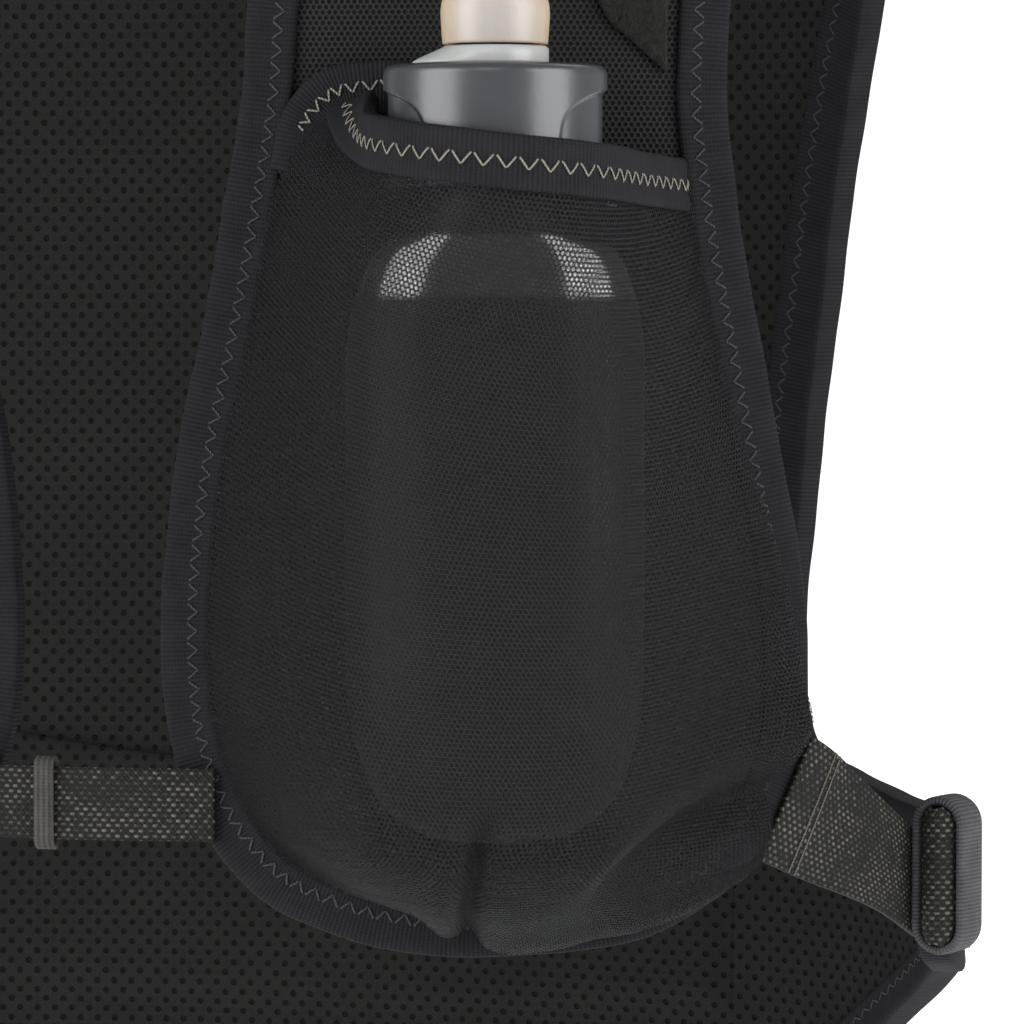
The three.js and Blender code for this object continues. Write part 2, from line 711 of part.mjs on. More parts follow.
// Valve seat: a short drum with a ramp down to one side
function valveBase() {
  const sides = valveSides;
  const foot = capTop + gap;
  return loft(Array.from({ length: sides }, (_, k) => {
    const angle = 2 * Math.PI * k / sides;
    const ramp = valveBaseReach * Math.max(-Math.cos(angle), 0) ** 2;
    const spot = (radius, z) => onAxis(radius * Math.cos(angle), radius * Math.sin(angle), z);
    const low = valveBaseRadius + ramp;
    return [
      spot(low, foot), spot(low, foot + valveBaseHeight / 5),
      spot(valveBaseRadius, foot + valveBaseHeight), spot(valveBore, foot + valveBaseHeight),
      spot(valveBore, foot),
    ];
  }), true);
}

// Bite valve: a soft skirt, a waist and a rounded mouthpiece, as shares of its size
const valveRows = [
  { up: 0.00, radius: 0.98 },
  { up: 0.10, radius: 1.00 },
  { up: 0.34, radius: 0.97 },
  { up: 0.42, radius: 0.84 },
  { up: 0.52, radius: 0.84 },
  { up: 0.66, radius: 0.92 },
  { up: 0.86, radius: 0.86 },
  { up: 1.00, radius: 0.62 },
];

function biteValve() {
  const foot = capTop + 2 * gap + valveBaseHeight;
  const section = valveRows.map((row) => [row.radius * valveRadius, row.up * valveHeight]);
  const centre = new THREE.Vector3(axisSpot.x, axisSpot.y, foot);
  const bore = [[valveBore, valveHeight], [valveBore, 0]];
  return turned([...section, ...bore], valveSides, centre);
}

// Fuzzy patch high on the chest panel, beside its outer tape
const patchSides = [
  { down: 0.425, left: 0.462, right: 0.560 },
  { down: 0.455, left: 0.470, right: 0.558 },
  { down: 0.486, left: 0.484, right: 0.556 },
  { down: 0.506, left: 0.500, right: 0.556 },
];
const patchSlant = 0.028;

function loopPatch() {
  const rows = patchSides.map((row) => Array.from({ length: 4 }, (_, i) => (
    [mix(row.left, row.right, i / 3) * halfGirth,
      -(row.down + patchSlant * i / 3) * frontDrop])));
  return sheet([rows], ([across, down], face) => offBody(across, down,
    chestFace + 2 * gap + loopPile * (1 + face) / 2 + foldLift(across, down)));
}

// Side strap: webbing from the chest panel's edge to the tip of the wing. Rows run along it,
// as shares of the half girth and the front drop, with the half width laid aslant.
const sideStrapEnds = {
  from: { across: 0.6800, z: -301.5, lean: 0.25, lift: 1 },
  to: { across: 0.8990, z: -321.5, lean: 0.20, lift: 0 },
};
const sideStrapSteps = 10;

function sideStrap() {
  const { from, to } = sideStrapEnds;
  const high = chestTapeFace + gap + webbing / 2;
  const low = spacerMesh;
  const rows = Array.from({ length: sideStrapSteps + 1 }, (_, j) => {
    const share = j / sideStrapSteps;
    const middle = mix(from.across, to.across, share) * halfGirth;
    const lean = mix(from.lean, to.lean, share) * sideWebWidth;
    return [-1, 0, 1].map((k) => [middle + k * lean,
      -downTo(mix(from.z, to.z, share) + k * sideWebWidth / 2), mix(high, low, ease(share * 3))]);
  });
  return sheet([rows], ([across, down, height], face) => (
    offBody(across, down, height + face * webbing / 2)));
}

// Elastic ring at the wing's tip, its long side upright, and the folded webbing inside it
const ringAcross = 0.885;
const ringMiddle = -320.5;
const ringFoot = spacerMesh + webbing / 2 + gap;

function ringFrame() {
  const across = ringAcross * halfGirth;
  const down = -downTo(ringMiddle);
  const { sideways, out } = bodyFrame(across, down);
  return {
    centre: offBody(across, down, ringFoot + ringWidth / 2),
    along: sideways.clone().normalize(),
    out: out.clone().setZ(0).normalize(),
  };
}

function stadium(width, height, steps) {
  const radius = width / 2;
  const straight = height / 2 - radius;
  return Array.from({ length: 2 * steps }, (_, k) => {
    const half = k < steps ? 1 : -1;
    const angle = Math.PI * (k % steps) / (steps - 1);
    return [half * radius * Math.cos(angle), half * (straight + radius * Math.sin(angle))];
  });
}

function sideLoop() {
  const { centre, along, out } = ringFrame();
  const outside = stadium(ringWidth, ringHeight, 7);
  const inside = stadium(ringWidth - 2 * ringWall, ringHeight - 2 * ringWall, 7);
  const spot = ([x, z], tangent) => centre.clone().addScaledVector(out, x)
    .addScaledVector(along, tangent).add(new THREE.Vector3(0, 0, z));
  return loft(outside.map((place, k) => [
    spot(place, -ringBand / 2), spot(place, ringBand / 2),
    spot(inside[k], ringBand / 2), spot(inside[k], -ringBand / 2),
  ]), true);
}

function strapTail() {
  const { centre, along, out } = ringFrame();
  const room = ringWidth - 2 * ringWall - 2 * gap;
  const halfLength = ringBand * 0.7;
  const top = Math.min(sideWebWidth, ringHeight - ringWidth) / 2;
  const bend = room / 2;
  const leg = (radius) => {
    const arc = Array.from({ length: 6 }, (_, k) => {
      const angle = Math.PI * k / 5;
      return [radius * Math.cos(angle), -halfLength + bend - radius * Math.sin(angle)];
    });
    return [[radius, halfLength], ...arc, [-radius, halfLength]];
  };
  const outside = leg(bend);
  const inside = leg(bend - webbing);
  const spot = ([x, tangent], z) => centre.clone().addScaledVector(out, x)
    .addScaledVector(along, tangent).add(new THREE.Vector3(0, 0, z));
  return loft(outside.map((place, k) => [
    spot(place, -top), spot(place, top), spot(inside[k], top), spot(inside[k], -top),
  ]));
}

// Gathered elastic under the ring, sewn back onto the wing
const gatherRows = [
  { across: 0.925, top: -311, bottom: -334, lift: 3.4, thick: 2.6 },
  { across: 0.950, top: -314, bottom: -340, lift: 2.6, thick: 2.2 },
  { across: 0.985, top: -318, bottom: -343, lift: 1.9, thick: 1.6 },
  { across: 1.020, top: -321, bottom: -344, lift: 1.5, thick: 1.2 },
];

function loopGather() {
  const face0 = spacerMesh + gap + tape;
  return loft(gatherRows.map((row) => {
    const height = face0 + row.lift;
    const spot = (z, level) => offBody(row.across * halfGirth, -downTo(z), level);
    const levels = [row.top, (row.top + row.bottom) / 2, row.bottom];
    return [
      ...levels.map((z) => spot(z, height + row.thick / 2)),
      ...[...levels].reverse().map((z) => spot(z, height - row.thick / 2)),
    ];
  }));
}

for (const [name, side] of [['left', 1], ['right', -1]]) {
  const piece = (part, geometry, finish) => add(`${name}_${part}`, mirrored(geometry, side), finish);
  piece('front_panel', chestPanel(), 'chest');
  piece('panel_binding', bodyTape(chestOutline, chestTapeWidth, chestMid, chestMesh / 2), 'tape');
  piece('flask_pocket', flaskPocket(), 'power');
  piece('mouth_binding', mouthBinding(), 'tape');
  piece('pocket_back', pocketBack(), 'power');
  piece('rear_lip', bodyTape(archPath, lipTapeWidth, backWallMid, powerMesh / 2), 'tape');
  piece('flask_body', flaskBody(), 'flask');
  piece('flask_cap', flaskCap(), 'cap');
  piece('valve_base', valveBase(), 'seat');
  piece('bite_valve', biteValve(), 'valve');
  piece('loop_patch', loopPatch(), 'pile');
  piece('side_strap', sideStrap(), 'web');
  piece('side_loop', sideLoop(), 'knit');
  piece('strap_tail', strapTail(), 'web');
  piece('loop_gather', loopGather(), 'knit');
}

// Back panel: rows down its armholes, as shares of the back drop and of the half girth
const strapRows = [0.0005, 0.0446, 0.0890, 0.1291, 0.1515];
const armholeStrap = [0.5527, 0.5663, 0.5933, 0.6205, 0.6355];
const armholeRows = [
  { down: 0.1603, across: 0.6420 },
  { down: 0.1855, across: 0.6540 },
  { down: 0.2185, across: 0.6660 },
  { down: 0.2672, across: 0.6776 },
  { down: 0.3296, across: 0.6796 },
  { down: 0.3786, across: 0.6715 },
  { down: 0.4187, across: 0.6542 },
  { down: 0.4521, across: 0.6335 },
  { down: 0.5012, across: 0.6077 },
  { down: 0.5590, across: 0.5848 },
  { down: 0.6281, across: 0.5609 },
  { down: 0.6815, across: 0.5464 },
  { down: 0.7483, across: 0.5351 },
  { down: 0.7817, across: 0.5385 },
  { down: 0.8009, across: 0.5540 },
];
const wingRows = [
  { across: 0.6253, top: 0.8151, bottom: 0.9655 },
  { across: 0.7026, top: 0.8234, bottom: 0.9421 },
  { across: 0.7963, top: 0.8269, bottom: 0.9187 },
  { across: 0.8899, top: 0.8321, bottom: 0.9020 },
];
const wingTipAcross = 0.9906;
const wingTipDown = 0.8641;
const wingLevels = 4;
const halfColumns = 6;
const tipSteps = 4;

const backDown = (share) => share * backDrop;
const neckAt = (share) => neckHalfWidth * Math.sqrt(Math.max(1 - (backDown(share) / neckDrop) ** 2, 0));
const armStrap = strapRows.map((share, k) => [armholeStrap[k] * halfGirth, backDown(share)]);
const armBody = armholeRows.map((row) => [row.across * halfGirth, backDown(row.down)]);
const wingTop = wingRows.map((row) => [row.across * halfGirth, backDown(row.top)]);
const wingLow = wingRows.map((row) => [row.across * halfGirth, backDown(row.bottom)]);
const wingTip = Array.from({ length: tipSteps + 1 }, (_, k) => {
  const angle = Math.PI * (k / tipSteps - 0.5);
  return [wingTipAcross * halfGirth + wingTipRadius * Math.cos(angle),
    wingTipDown * backDrop + wingTipRadius * Math.sin(angle)];
});
const rootAcross = armBody[armBody.length - 1][0];
const hemAt = (across) => backDrop - hemRise * (across / rootAcross) ** 2;
const hemPlaces = Array.from({ length: 2 * halfColumns + 1 }, (_, i) => {
  const side = Math.sign(halfColumns - i);
  const across = rootAcross * side * columnShare(Math.abs(halfColumns - i), rootAcross);
  return [across, hemAt(across)];
});
const turnOver = (places) => places.map(([across, down]) => [-across, down]).reverse();
const neckSide = strapRows.map((share) => [neckAt(share), backDown(share)]);
const neckOutline = [...turnOver(neckSide).reverse(), [0, neckDrop], ...[...neckSide].reverse()];
const neckEdge = inset(neckOutline, tuck).reverse();
const neckLeg = inset(neckOutline, wingTapeWidth).reverse();
const sideRun = [...armStrap, ...armBody, ...wingTop, ...wingTip, ...[...wingLow].reverse()];
const backOutline = [...sideRun, ...hemPlaces, ...turnOver(sideRun)];
const tipPlace = armStrap.length + armBody.length + wingTop.length;

function backTapeWidth(index) {
  const place = Math.min(index, backOutline.length - 1 - index);
  const wide = ease((tipPlace - wingTop.length - place) / 3 + 0.5);
  return mix(wingTapeWidth, armholeTapeWidth, wide);
}

// Right half of the back panel's edge, tucked into the tape, split where its patches meet
const backEdge = inset(backOutline, tuck);
const strapCount = armStrap.length;
const wingStart = strapCount + armBody.length;
const hemStart = sideRun.length;
const armEdge = backEdge.slice(0, wingStart);
const halfHem = backEdge.slice(hemStart, hemStart + halfColumns + 1);
const hemEdge = [...halfHem, ...turnOver(halfHem.slice(0, halfColumns))];
const rootLine = line(armEdge[wingStart - 1], hemEdge[0], wingLevels);
const bodySide = [...armEdge.slice(strapCount), ...rootLine.slice(1)];
const hemBlend = 0.7;

// Half the columns run outwards, the last one as wide as the tape over it
function columnShare(i, width) {
  if (i === halfColumns) return 1;
  return (1 - (armholeTapeWidth - tuck) / width) * i / (halfColumns - 1);
}

// Strap rows run from the neck edge outwards; the last one meets the body at the neck's foot
function strapPatch(side) {
  return armEdge.slice(0, strapCount + 1).map((place, j) => {
    const joins = j === strapCount;
    const inner = neckEdge[j];
    const start = joins ? inner : neckLeg[j];
    return Array.from({ length: halfColumns + 1 }, (_, i) => {
      const share = joins ? columnShare(i, place[0])
        : mix(0, 1 - (armholeTapeWidth - tuck) / (place[0] - start[0]), (i - 1) / (halfColumns - 2));
      if (i === 0) return [side * inner[0], inner[1]];
      if (i === halfColumns) return [side * place[0], place[1]];
      return [side * mix(start[0], place[0], share), mix(start[1], place[1], share)];
    });
  });
}

function bodyPatch(neckRow) {
  return bodySide.map((place, j) => {
    if (j === 0) return [...[...neckRow].reverse(), ...neckRow.slice(1).map(([s, t]) => [-s, t])];
    if (j === bodySide.length - 1) return hemEdge;
    const share = ease((j / (bodySide.length - 1) - hemBlend) / (1 - hemBlend));
    return hemEdge.map((low, i) => {
      const side = Math.sign(halfColumns - i);
      const column = side * columnShare(Math.abs(halfColumns - i), place[0]);
      return [place[0] * column, place[1] + (low[1] - hemEdge[0][1]) * share];
    });
  });
}

function backPanel() {
  const straps = [strapPatch(1), strapPatch(-1)];
  const top = backEdge.slice(wingStart, wingStart + wingTop.length);
  const tip = backEdge.slice(wingStart + wingTop.length, hemStart - wingLow.length);
  const low = backEdge.slice(hemStart - wingLow.length, hemStart).reverse();
  const across = (from, to) => line(from, to, wingLevels);
  const wing = [rootLine, ...top.map((place, k) => across(place, low[k])),
    across(tip[0], tip[tipSteps]), tip];
  const patches = [
    bodyPatch(straps[0][strapCount]),
    straps[0].map((row) => [...row].reverse()),
    straps[1],
    wing,
    wing.map(turnOver),
  ];
  return sheet(patches, ([across, down], face) => (
    offBody(across, down, spacerMesh * (1 + face) / 2)));
}

// Second layer of spacer mesh inside the back, from its raised top edge down to the hem's tape
const lumbarTopMiddle = 0.826;
const lumbarTopSide = 0.802;
const lumbarRows = 4;
const lumbarLift = -2 * gap - lumbarMesh / 2;
const lumbarSide = 1;

function lumbarPanel() {
  const reach = Math.min(...armBody.map((place) => place[0])) - armholeTapeWidth - lumbarSide;
  const columns = hemEdge.slice(1, -1).map((place) => place[0] * reach / hemEdge[1][0]);
  const rows = Array.from({ length: lumbarRows + 1 }, (_, j) => columns.map((across) => {
    const side = (across / reach) ** 2;
    const top = backDown(mix(lumbarTopMiddle, lumbarTopSide, side));
    return [across, mix(top, hemAt(across) - lumbarMargin, j / lumbarRows)];
  }));
  return sheet([rows], ([across, down], face) => (
    offBody(across, down, lumbarLift + face * lumbarMesh / 2)));
}

const spacerMid = spacerMesh / 2;
add('back_panel', backPanel(), 'spacer');
add('back_binding', bodyTape(backOutline, backTapeWidth, spacerMid, spacerMid), 'tape');
add('neck_binding', bodyTape(neckOutline, wingTapeWidth, spacerMid, spacerMid), 'tape');
add('lumbar_panel', lumbarPanel(), 'spacer');

// Sternum strap, sewn to the left panel's tape and held in a clasp on the right panel's tape
const sternumHeight = -302.4;
const sternumFrom = 0.128;
const sternumTo = -0.132;
const sternumSteps = 10;
const sternumLift = chestTapeFace + gap + webbing / 2;
const claspRise = claspWall + 3 * gap;
const keeperAcross = -0.036;
const claspAcross = -0.118;

function sternumSpot(share) {
  const lift = sternumLift + claspRise * ease(share * 2);
  return { across: mix(sternumFrom, sternumTo, share) * halfGirth, lift };
}

function sternumStrap() {
  const rows = Array.from({ length: sternumSteps + 1 }, (_, j) => {
    const { across, lift } = sternumSpot(j / sternumSteps);
    return [-1, 1].map((k) => [across, -downTo(sternumHeight + k * sternumWebWidth / 2), lift]);
  });
  return sheet([rows], ([across, down, lift], face) => (
    offBody(across, down, lift + face * webbing / 2)));
}

// A flat band round the sternum strap, with round corners
function strapSleeve(acrossShare, wall, width) {
  const share = (acrossShare - sternumFrom) / (sternumTo - sternumFrom);
  const { across, lift } = sternumSpot(share);
  const down = -downTo(sternumHeight);
  const { sideways, out } = bodyFrame(across, down);
  const along = sideways.clone().normalize();
  const centre = offBody(across, down, lift);
  const clear = 2 * gap;
  const ring = (grow) => stadium(webbing + 2 * (clear + grow), sternumWebWidth + 2 * (clear + grow)
    + webbing, 3);
  const inside = ring(0);
  const spot = ([x, z], tangent) => centre.clone().addScaledVector(out, x)
    .addScaledVector(along, tangent).add(new THREE.Vector3(0, 0, z));
  return loft(ring(wall).map((place, k) => [
    spot(place, -width / 2), spot(place, width / 2),
    spot(inside[k], width / 2), spot(inside[k], -width / 2),
  ]), true);
}

add('sternum_strap', sternumStrap(), 'web');
add('sternum_keeper', strapSleeve(keeperAcross, keeperWall, keeperWidth), 'knit');
add('sternum_clasp', strapSleeve(claspAcross, claspWall, claspLength), 'clasp');

export default group;
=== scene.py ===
# %% [markdown]
# # A running hydration vest
# The vest hangs in the shape that a body would give it: a back panel of thick spacer mesh, two
# fine mesh panels over the chest, and a soft flask in a see-through pocket on each of them.
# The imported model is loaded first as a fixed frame. It has the right sizes and places but plain
# faceted cloth, so every piece is made again here, finer, in the very same place.

# %% Load the frame
import math

import bmesh
import bpy
import numpy as np
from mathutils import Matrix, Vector


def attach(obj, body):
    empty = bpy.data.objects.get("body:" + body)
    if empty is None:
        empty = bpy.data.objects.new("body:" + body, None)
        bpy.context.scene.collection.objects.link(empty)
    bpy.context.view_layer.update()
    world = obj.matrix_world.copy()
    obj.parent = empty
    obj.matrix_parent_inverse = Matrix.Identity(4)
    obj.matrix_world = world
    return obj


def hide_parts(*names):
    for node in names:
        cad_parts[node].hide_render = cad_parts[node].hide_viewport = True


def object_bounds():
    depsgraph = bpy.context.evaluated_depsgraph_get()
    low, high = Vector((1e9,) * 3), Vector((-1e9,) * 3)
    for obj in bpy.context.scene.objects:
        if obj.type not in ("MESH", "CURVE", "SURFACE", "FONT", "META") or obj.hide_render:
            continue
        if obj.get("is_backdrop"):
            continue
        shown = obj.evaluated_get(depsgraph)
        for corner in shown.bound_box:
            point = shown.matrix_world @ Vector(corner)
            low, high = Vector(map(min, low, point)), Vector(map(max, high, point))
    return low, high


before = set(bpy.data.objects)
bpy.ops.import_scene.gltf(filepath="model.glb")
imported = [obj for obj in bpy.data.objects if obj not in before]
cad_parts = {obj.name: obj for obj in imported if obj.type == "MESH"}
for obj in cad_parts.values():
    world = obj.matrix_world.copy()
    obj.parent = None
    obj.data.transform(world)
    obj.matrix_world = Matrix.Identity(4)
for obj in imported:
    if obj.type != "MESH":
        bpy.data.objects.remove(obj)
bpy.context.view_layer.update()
MM = 0.001
UP = np.array([0.0, 0.0, 1.0])
LEVEL = np.array([1.0, 1.0, 0.0])
MIRROR = np.array([-1.0, 1.0])

# %% [markdown]
# ## The body under the cloth
# Every piece of cloth lies on one imaginary torso. A place on it is two lengths of cloth, in
# millimetres: s runs across from the centre line, and t runs down from the shoulder's top,
# negative over the chest and positive over the back. Working in cloth lengths means that a
# weave drawn in s and t is never stretched.

# %% The torso
HALF_WIDTH, HALF_DEPTH, SIDE_RADIUS, SHOULDER = 160.0, 102.0, 92.0, 102.0
FRONT_REACH, FRONT_LEAN = 92.0, 0.02
BACK_REACH, BACK_SWAY, SWAY_LENGTH = 96.0, 6.0, 220.0
SLOPE, SLOPE_START = 0.22, 50.0
FRONT_DROP, BACK_DROP = 391.6, 449.0
SIDE_START = HALF_WIDTH - SIDE_RADIUS
FLAT_RADIUS = (SIDE_START ** 2 + HALF_DEPTH ** 2 - SIDE_RADIUS ** 2) / (2 * (HALF_DEPTH - SIDE_RADIUS))
FLAT_TURN = math.atan2(SIDE_START, FLAT_RADIUS - HALF_DEPTH)
FLAT_ARC = FLAT_RADIUS * FLAT_TURN
GIRTH = FLAT_ARC + SIDE_RADIUS * (math.pi / 2 - FLAT_TURN)
SHOULDER_ARC = SHOULDER * math.pi / 2
FRONT = np.array([GIRTH, -FRONT_DROP])
BACK = np.array([GIRTH, BACK_DROP])


def arrays(*values):
    """Numbers and arrays as float arrays of one common shape."""
    return np.broadcast_arrays(*(np.asarray(v, float) for v in values))


def length(vectors):
    """Lengths along the last axis, kept as an axis, and never quite zero."""
    return np.maximum(np.linalg.norm(vectors, axis=-1, keepdims=True), 1e-9)


def body(s, t):
    """Points of the torso: an oval of two flat arcs and two tight side arcs, measured by arc
    length s, whose depth grows with the sine of the turn over the round shoulder."""
    s, t = arrays(s, t)
    arc, down = np.abs(s), np.abs(t)
    near = arc <= FLAT_ARC
    flat, side = arc / FLAT_RADIUS, FLAT_TURN + (arc - FLAT_ARC) / SIDE_RADIUS
    x = np.where(near, FLAT_RADIUS * np.sin(flat), SIDE_START + SIDE_RADIUS * np.sin(side))
    depth = np.where(near, FLAT_RADIUS * (np.cos(flat) - 1) + HALF_DEPTH,
                     SIDE_RADIUS * np.cos(side)) / HALF_DEPTH
    turn, fall = np.minimum(down, SHOULDER_ARC) / SHOULDER, np.maximum(down - SHOULDER_ARC, 0)
    chest = FRONT_REACH * np.sin(turn) + FRONT_LEAN * fall
    spine = BACK_REACH * np.sin(turn) + BACK_SWAY * np.sin(np.pi * fall / SWAY_LENGTH)
    slope = SLOPE * np.maximum(x - SLOPE_START, 0) * np.cos(turn) ** 2
    z = -SHOULDER * (1 - np.cos(turn)) - fall - slope
    return np.stack([np.sign(s) * x, np.where(t < 0, -chest, spine) * depth, z], -1)


def body_frame(s, t, step=0.05):
    """The two cloth directions and the outward normal, by differences a hair apart."""
    t = np.where(np.abs(t) < 2 * step, np.where(np.asarray(t) < 0, -2, 2) * step, t)
    across = (body(s + step, t) - body(s - step, t)) / (2 * step)
    along = (body(s, t + step) - body(s, t - step)) / (2 * step)
    out = np.cross(across, along)
    return across, along, out / length(out)


def off_body(s, t, height):
    """The torso's point plus its normal times a height."""
    s, t, height = arrays(s, t, height)
    return body(s, t) + body_frame(s, t)[2] * height[..., None]


def lay(places, height):
    """Places (s, t) put on the body at a height."""
    return off_body(places[..., 0], places[..., 1], height)


def down_to(z):
    """Cloth length from the shoulder's top down to a height."""
    return SHOULDER_ARC - SHOULDER - z


def ease(x):
    """A smooth step from 0 to 1."""
    x = np.clip(x, 0, 1)
    return x * x * (3 - 2 * x)


def shares(rows, columns, low=0):
    """Even shares down a grid's rows, from 0 to 1, and across its columns, from low to 1."""
    return np.linspace(0, 1, rows)[:, None], np.linspace(low, 1, columns)[None, :]


def path_length(points):
    """Length of a path at each of its points, along the first axis."""
    run = np.cumsum(np.linalg.norm(np.diff(points, axis=0), axis=-1), axis=0)
    return np.concatenate([0 * run[:1], run])


def even(dense, count):
    """Samples at equal lengths along a fine polyline."""
    run = path_length(dense)
    want = np.linspace(0, run[-1], count)
    return np.stack([np.interp(want, run, column) for column in dense.T], -1)


def cubics(values, knots, count):
    """Even samples of smooth curves through values at knots: at each knot the slope is that
    between its two neighbours, and cubics join the knots."""
    slope = np.gradient(values, knots, axis=0)
    fine = np.linspace(0, knots[-1], count)
    k = np.clip(np.searchsorted(knots, fine, side="right") - 1, 0, len(knots) - 2)
    wide = (-1,) + (1,) * (values.ndim - 1)
    h = (knots[k + 1] - knots[k]).reshape(wide)
    x = (fine - knots[k]).reshape(wide) / h
    return ((1 + 2 * x) * (1 - x) ** 2 * values[k] + x * (1 - x) ** 2 * h * slope[k]
            + x ** 2 * (3 - 2 * x) * values[k + 1] + x ** 2 * (x - 1) * h * slope[k + 1])


def smooth(points, count):
    """Even samples on a smooth curve through points."""
    points = np.asarray(points, float)
    return even(cubics(points, path_length(points), max(count * 4, 400)), count)


def inside(path, distance):
    """Places a set length to the left of a path over the body, square to it. The small square
    metric of the two cloth directions turns a step in space into a step in s and t."""
    ahead = np.gradient(path, axis=0)
    across, along, out = body_frame(*path.T)
    tangent = across * ahead[:, :1] + along * ahead[:, 1:]
    step = np.cross(out, tangent / length(tangent)) * np.broadcast_to(distance, len(path))[:, None]
    ss, st, tt, bs, bt = ((a * b).sum(1) for a, b in (
        (across, across), (across, along), (along, along), (across, step), (along, step)))
    return path + np.stack([bs * tt - bt * st, bt * ss - bs * st], -1) / (ss * tt - st * st)[:, None]


# %% [markdown]
# ## Turning arrays into pieces
# A piece is made once for the wearer's left and mirrored for the right, so both halves match.
# Three makers are enough for the whole vest: a cloth with two skins and a rim, a band that
# carries a closed section along a path, and a thread that follows a line of stitches.

# %% Makers
SIDES = (("left", 1), ("right", -1))
materials = {}


def make_mesh(name, points, faces, uv, material, side=1):
    """An object from points in millimetres; side -1 mirrors it and turns its faces over."""
    points = np.asarray(points, float).reshape(-1, 3) * [side * MM, MM, MM]
    faces = np.asarray(faces)[:, ::side]
    mesh = bpy.data.meshes.new(name)
    mesh.from_pydata(points.tolist(), [], faces.tolist())
    mesh.materials.append(materials[material])
    layer = mesh.uv_layers.new(name="cloth")
    corner = np.empty(len(mesh.loops), np.int32)
    mesh.loops.foreach_get("vertex_index", corner)
    layer.data.foreach_set("uv", np.asarray(uv, np.float32).reshape(-1, 2)[corner].ravel())
    mesh.shade_smooth()
    made = bpy.data.objects.new(name, mesh)
    bpy.context.scene.collection.objects.link(made)
    return made


def settle(piece, slot, *nodes, on="vest"):
    """Let a piece ride on a body and stand for CAD nodes; slot is not used."""
    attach(piece, on)
    if nodes:
        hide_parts(*nodes)
    return piece


def pair(maker, piece, shape, slot, node, on="vest", **options):
    """The same piece for both halves, settled; returns the two by their word."""
    return {word: settle(maker(f"{word}_{piece}", *shape, side=side, **options), slot,
                         *([f"{word}_{node}"] if node else []), on=on.format(word)) for word, side in SIDES}


def weld(piece, reach=2e-6, flat=0):
    """Join points within reach of each other, drop edges shorter than flat, and face the closed
    skin outwards."""
    bm = bmesh.new()
    bm.from_mesh(piece.data)
    bmesh.ops.remove_doubles(bm, verts=bm.verts, dist=reach)
    if flat:
        bmesh.ops.dissolve_degenerate(bm, edges=bm.edges, dist=flat)
    bmesh.ops.recalc_face_normals(bm, faces=bm.faces)
    bm.to_mesh(piece.data)
    bm.free()
    piece.data.shade_smooth()
    return piece


def grid_faces(rows, columns):
    """Quads of a grid of points."""
    index = np.arange(rows * columns).reshape(rows, columns)
    return np.stack([index[:-1, :-1], index[:-1, 1:], index[1:, 1:], index[1:, :-1]], -1).reshape(-1, 4)


def normals_of(grid):
    """Normals of a grid of points, from the differences along its rows and columns."""
    n = np.cross(np.gradient(grid, axis=0), np.gradient(grid, axis=1))
    return n / length(n)


def cloth(name, grid, uv, thick, material, side=1, out=None):
    """Two skins half a thickness either side of a grid, closed by a rim of quads."""
    rows, columns = grid.shape[:2]
    out = normals_of(grid) if out is None else out
    skins = np.concatenate([(grid + out * thick / 2).reshape(-1, 3), (grid - out * thick / 2).reshape(-1, 3)])
    count = rows * columns
    face = grid_faces(rows, columns)
    index = np.arange(count).reshape(rows, columns)
    rim = np.concatenate([index[0], index[1:, -1], index[-1, -2::-1], index[-2:0:-1, 0]])
    after = np.roll(rim, -1)
    edge = np.stack([rim, rim + count, after + count, after], -1)
    faces = np.concatenate([face, face[:, ::-1] + count, edge])
    if np.dot(np.cross(grid[0, 1] - grid[0, 0], grid[1, 0] - grid[0, 0]), out[0, 0]) < 0:
        faces = faces[:, ::-1]
    return make_mesh(name, skins, faces, np.concatenate([uv.reshape(-1, 2)] * 2), material, side)


def band(name, sections, along, material, side=1, closed=False):
    """A closed section carried along a path. sections is stations by points by 3; open ends are
    capped, and the map runs along the band and around its section in millimetres."""
    if closed:
        step = np.linalg.norm(sections[0] - sections[-1], axis=-1).mean()
        sections = np.concatenate([sections, sections[:1]])
        along = np.append(along, along[-1] + step)
    stations, count = sections.shape[:2]
    ring = np.concatenate([sections, sections[:, :1]], 1)
    u, v = arrays(np.asarray(along)[:, None], path_length(ring[stations // 2]))
    faces = grid_faces(stations, count + 1)
    if not closed:
        i = np.arange(count // 2 - 1)
        first = np.stack([i, i + 1, count - 2 - i, count - 1 - i], -1)
        faces = np.concatenate([faces, first[:, ::-1], first + (stations - 1) * (count + 1)])
    return weld(make_mesh(name, ring, faces, np.stack([u, v], -1), material, side))


def thread(name, line, out, radius, material, side=1, sides=5):
    """A thin tube along a line of points: each ring lies square to the line, turned with out."""
    ahead = np.gradient(line, axis=0)
    ahead /= length(ahead)
    sideways = np.cross(ahead, out)
    sideways /= length(sideways)
    turn = (np.arange(sides) * 2 * np.pi / sides)[None, :, None]
    ring = np.cos(turn) * sideways[:, None] + 0.6 * np.sin(turn) * np.cross(sideways, ahead)[:, None]
    return band(name, line[:, None] + radius * ring, path_length(line), material, side)


# %% [markdown]
# ## Finishes
# All the cloth is nearly black, so what tells one from another is its texture: staggered holes
# in the spacer mesh, a fine net over the flask, ribs across the tape, and pale flecks in the
# webbing. Each is drawn from the cloth's own map in millimetres. Two effects are used by several
# finishes and are node groups: dots on a staggered lattice, and a soft unevenness.

# %% Node helpers
def grey(level):
    """A neutral colour."""
    return (level, level, level)


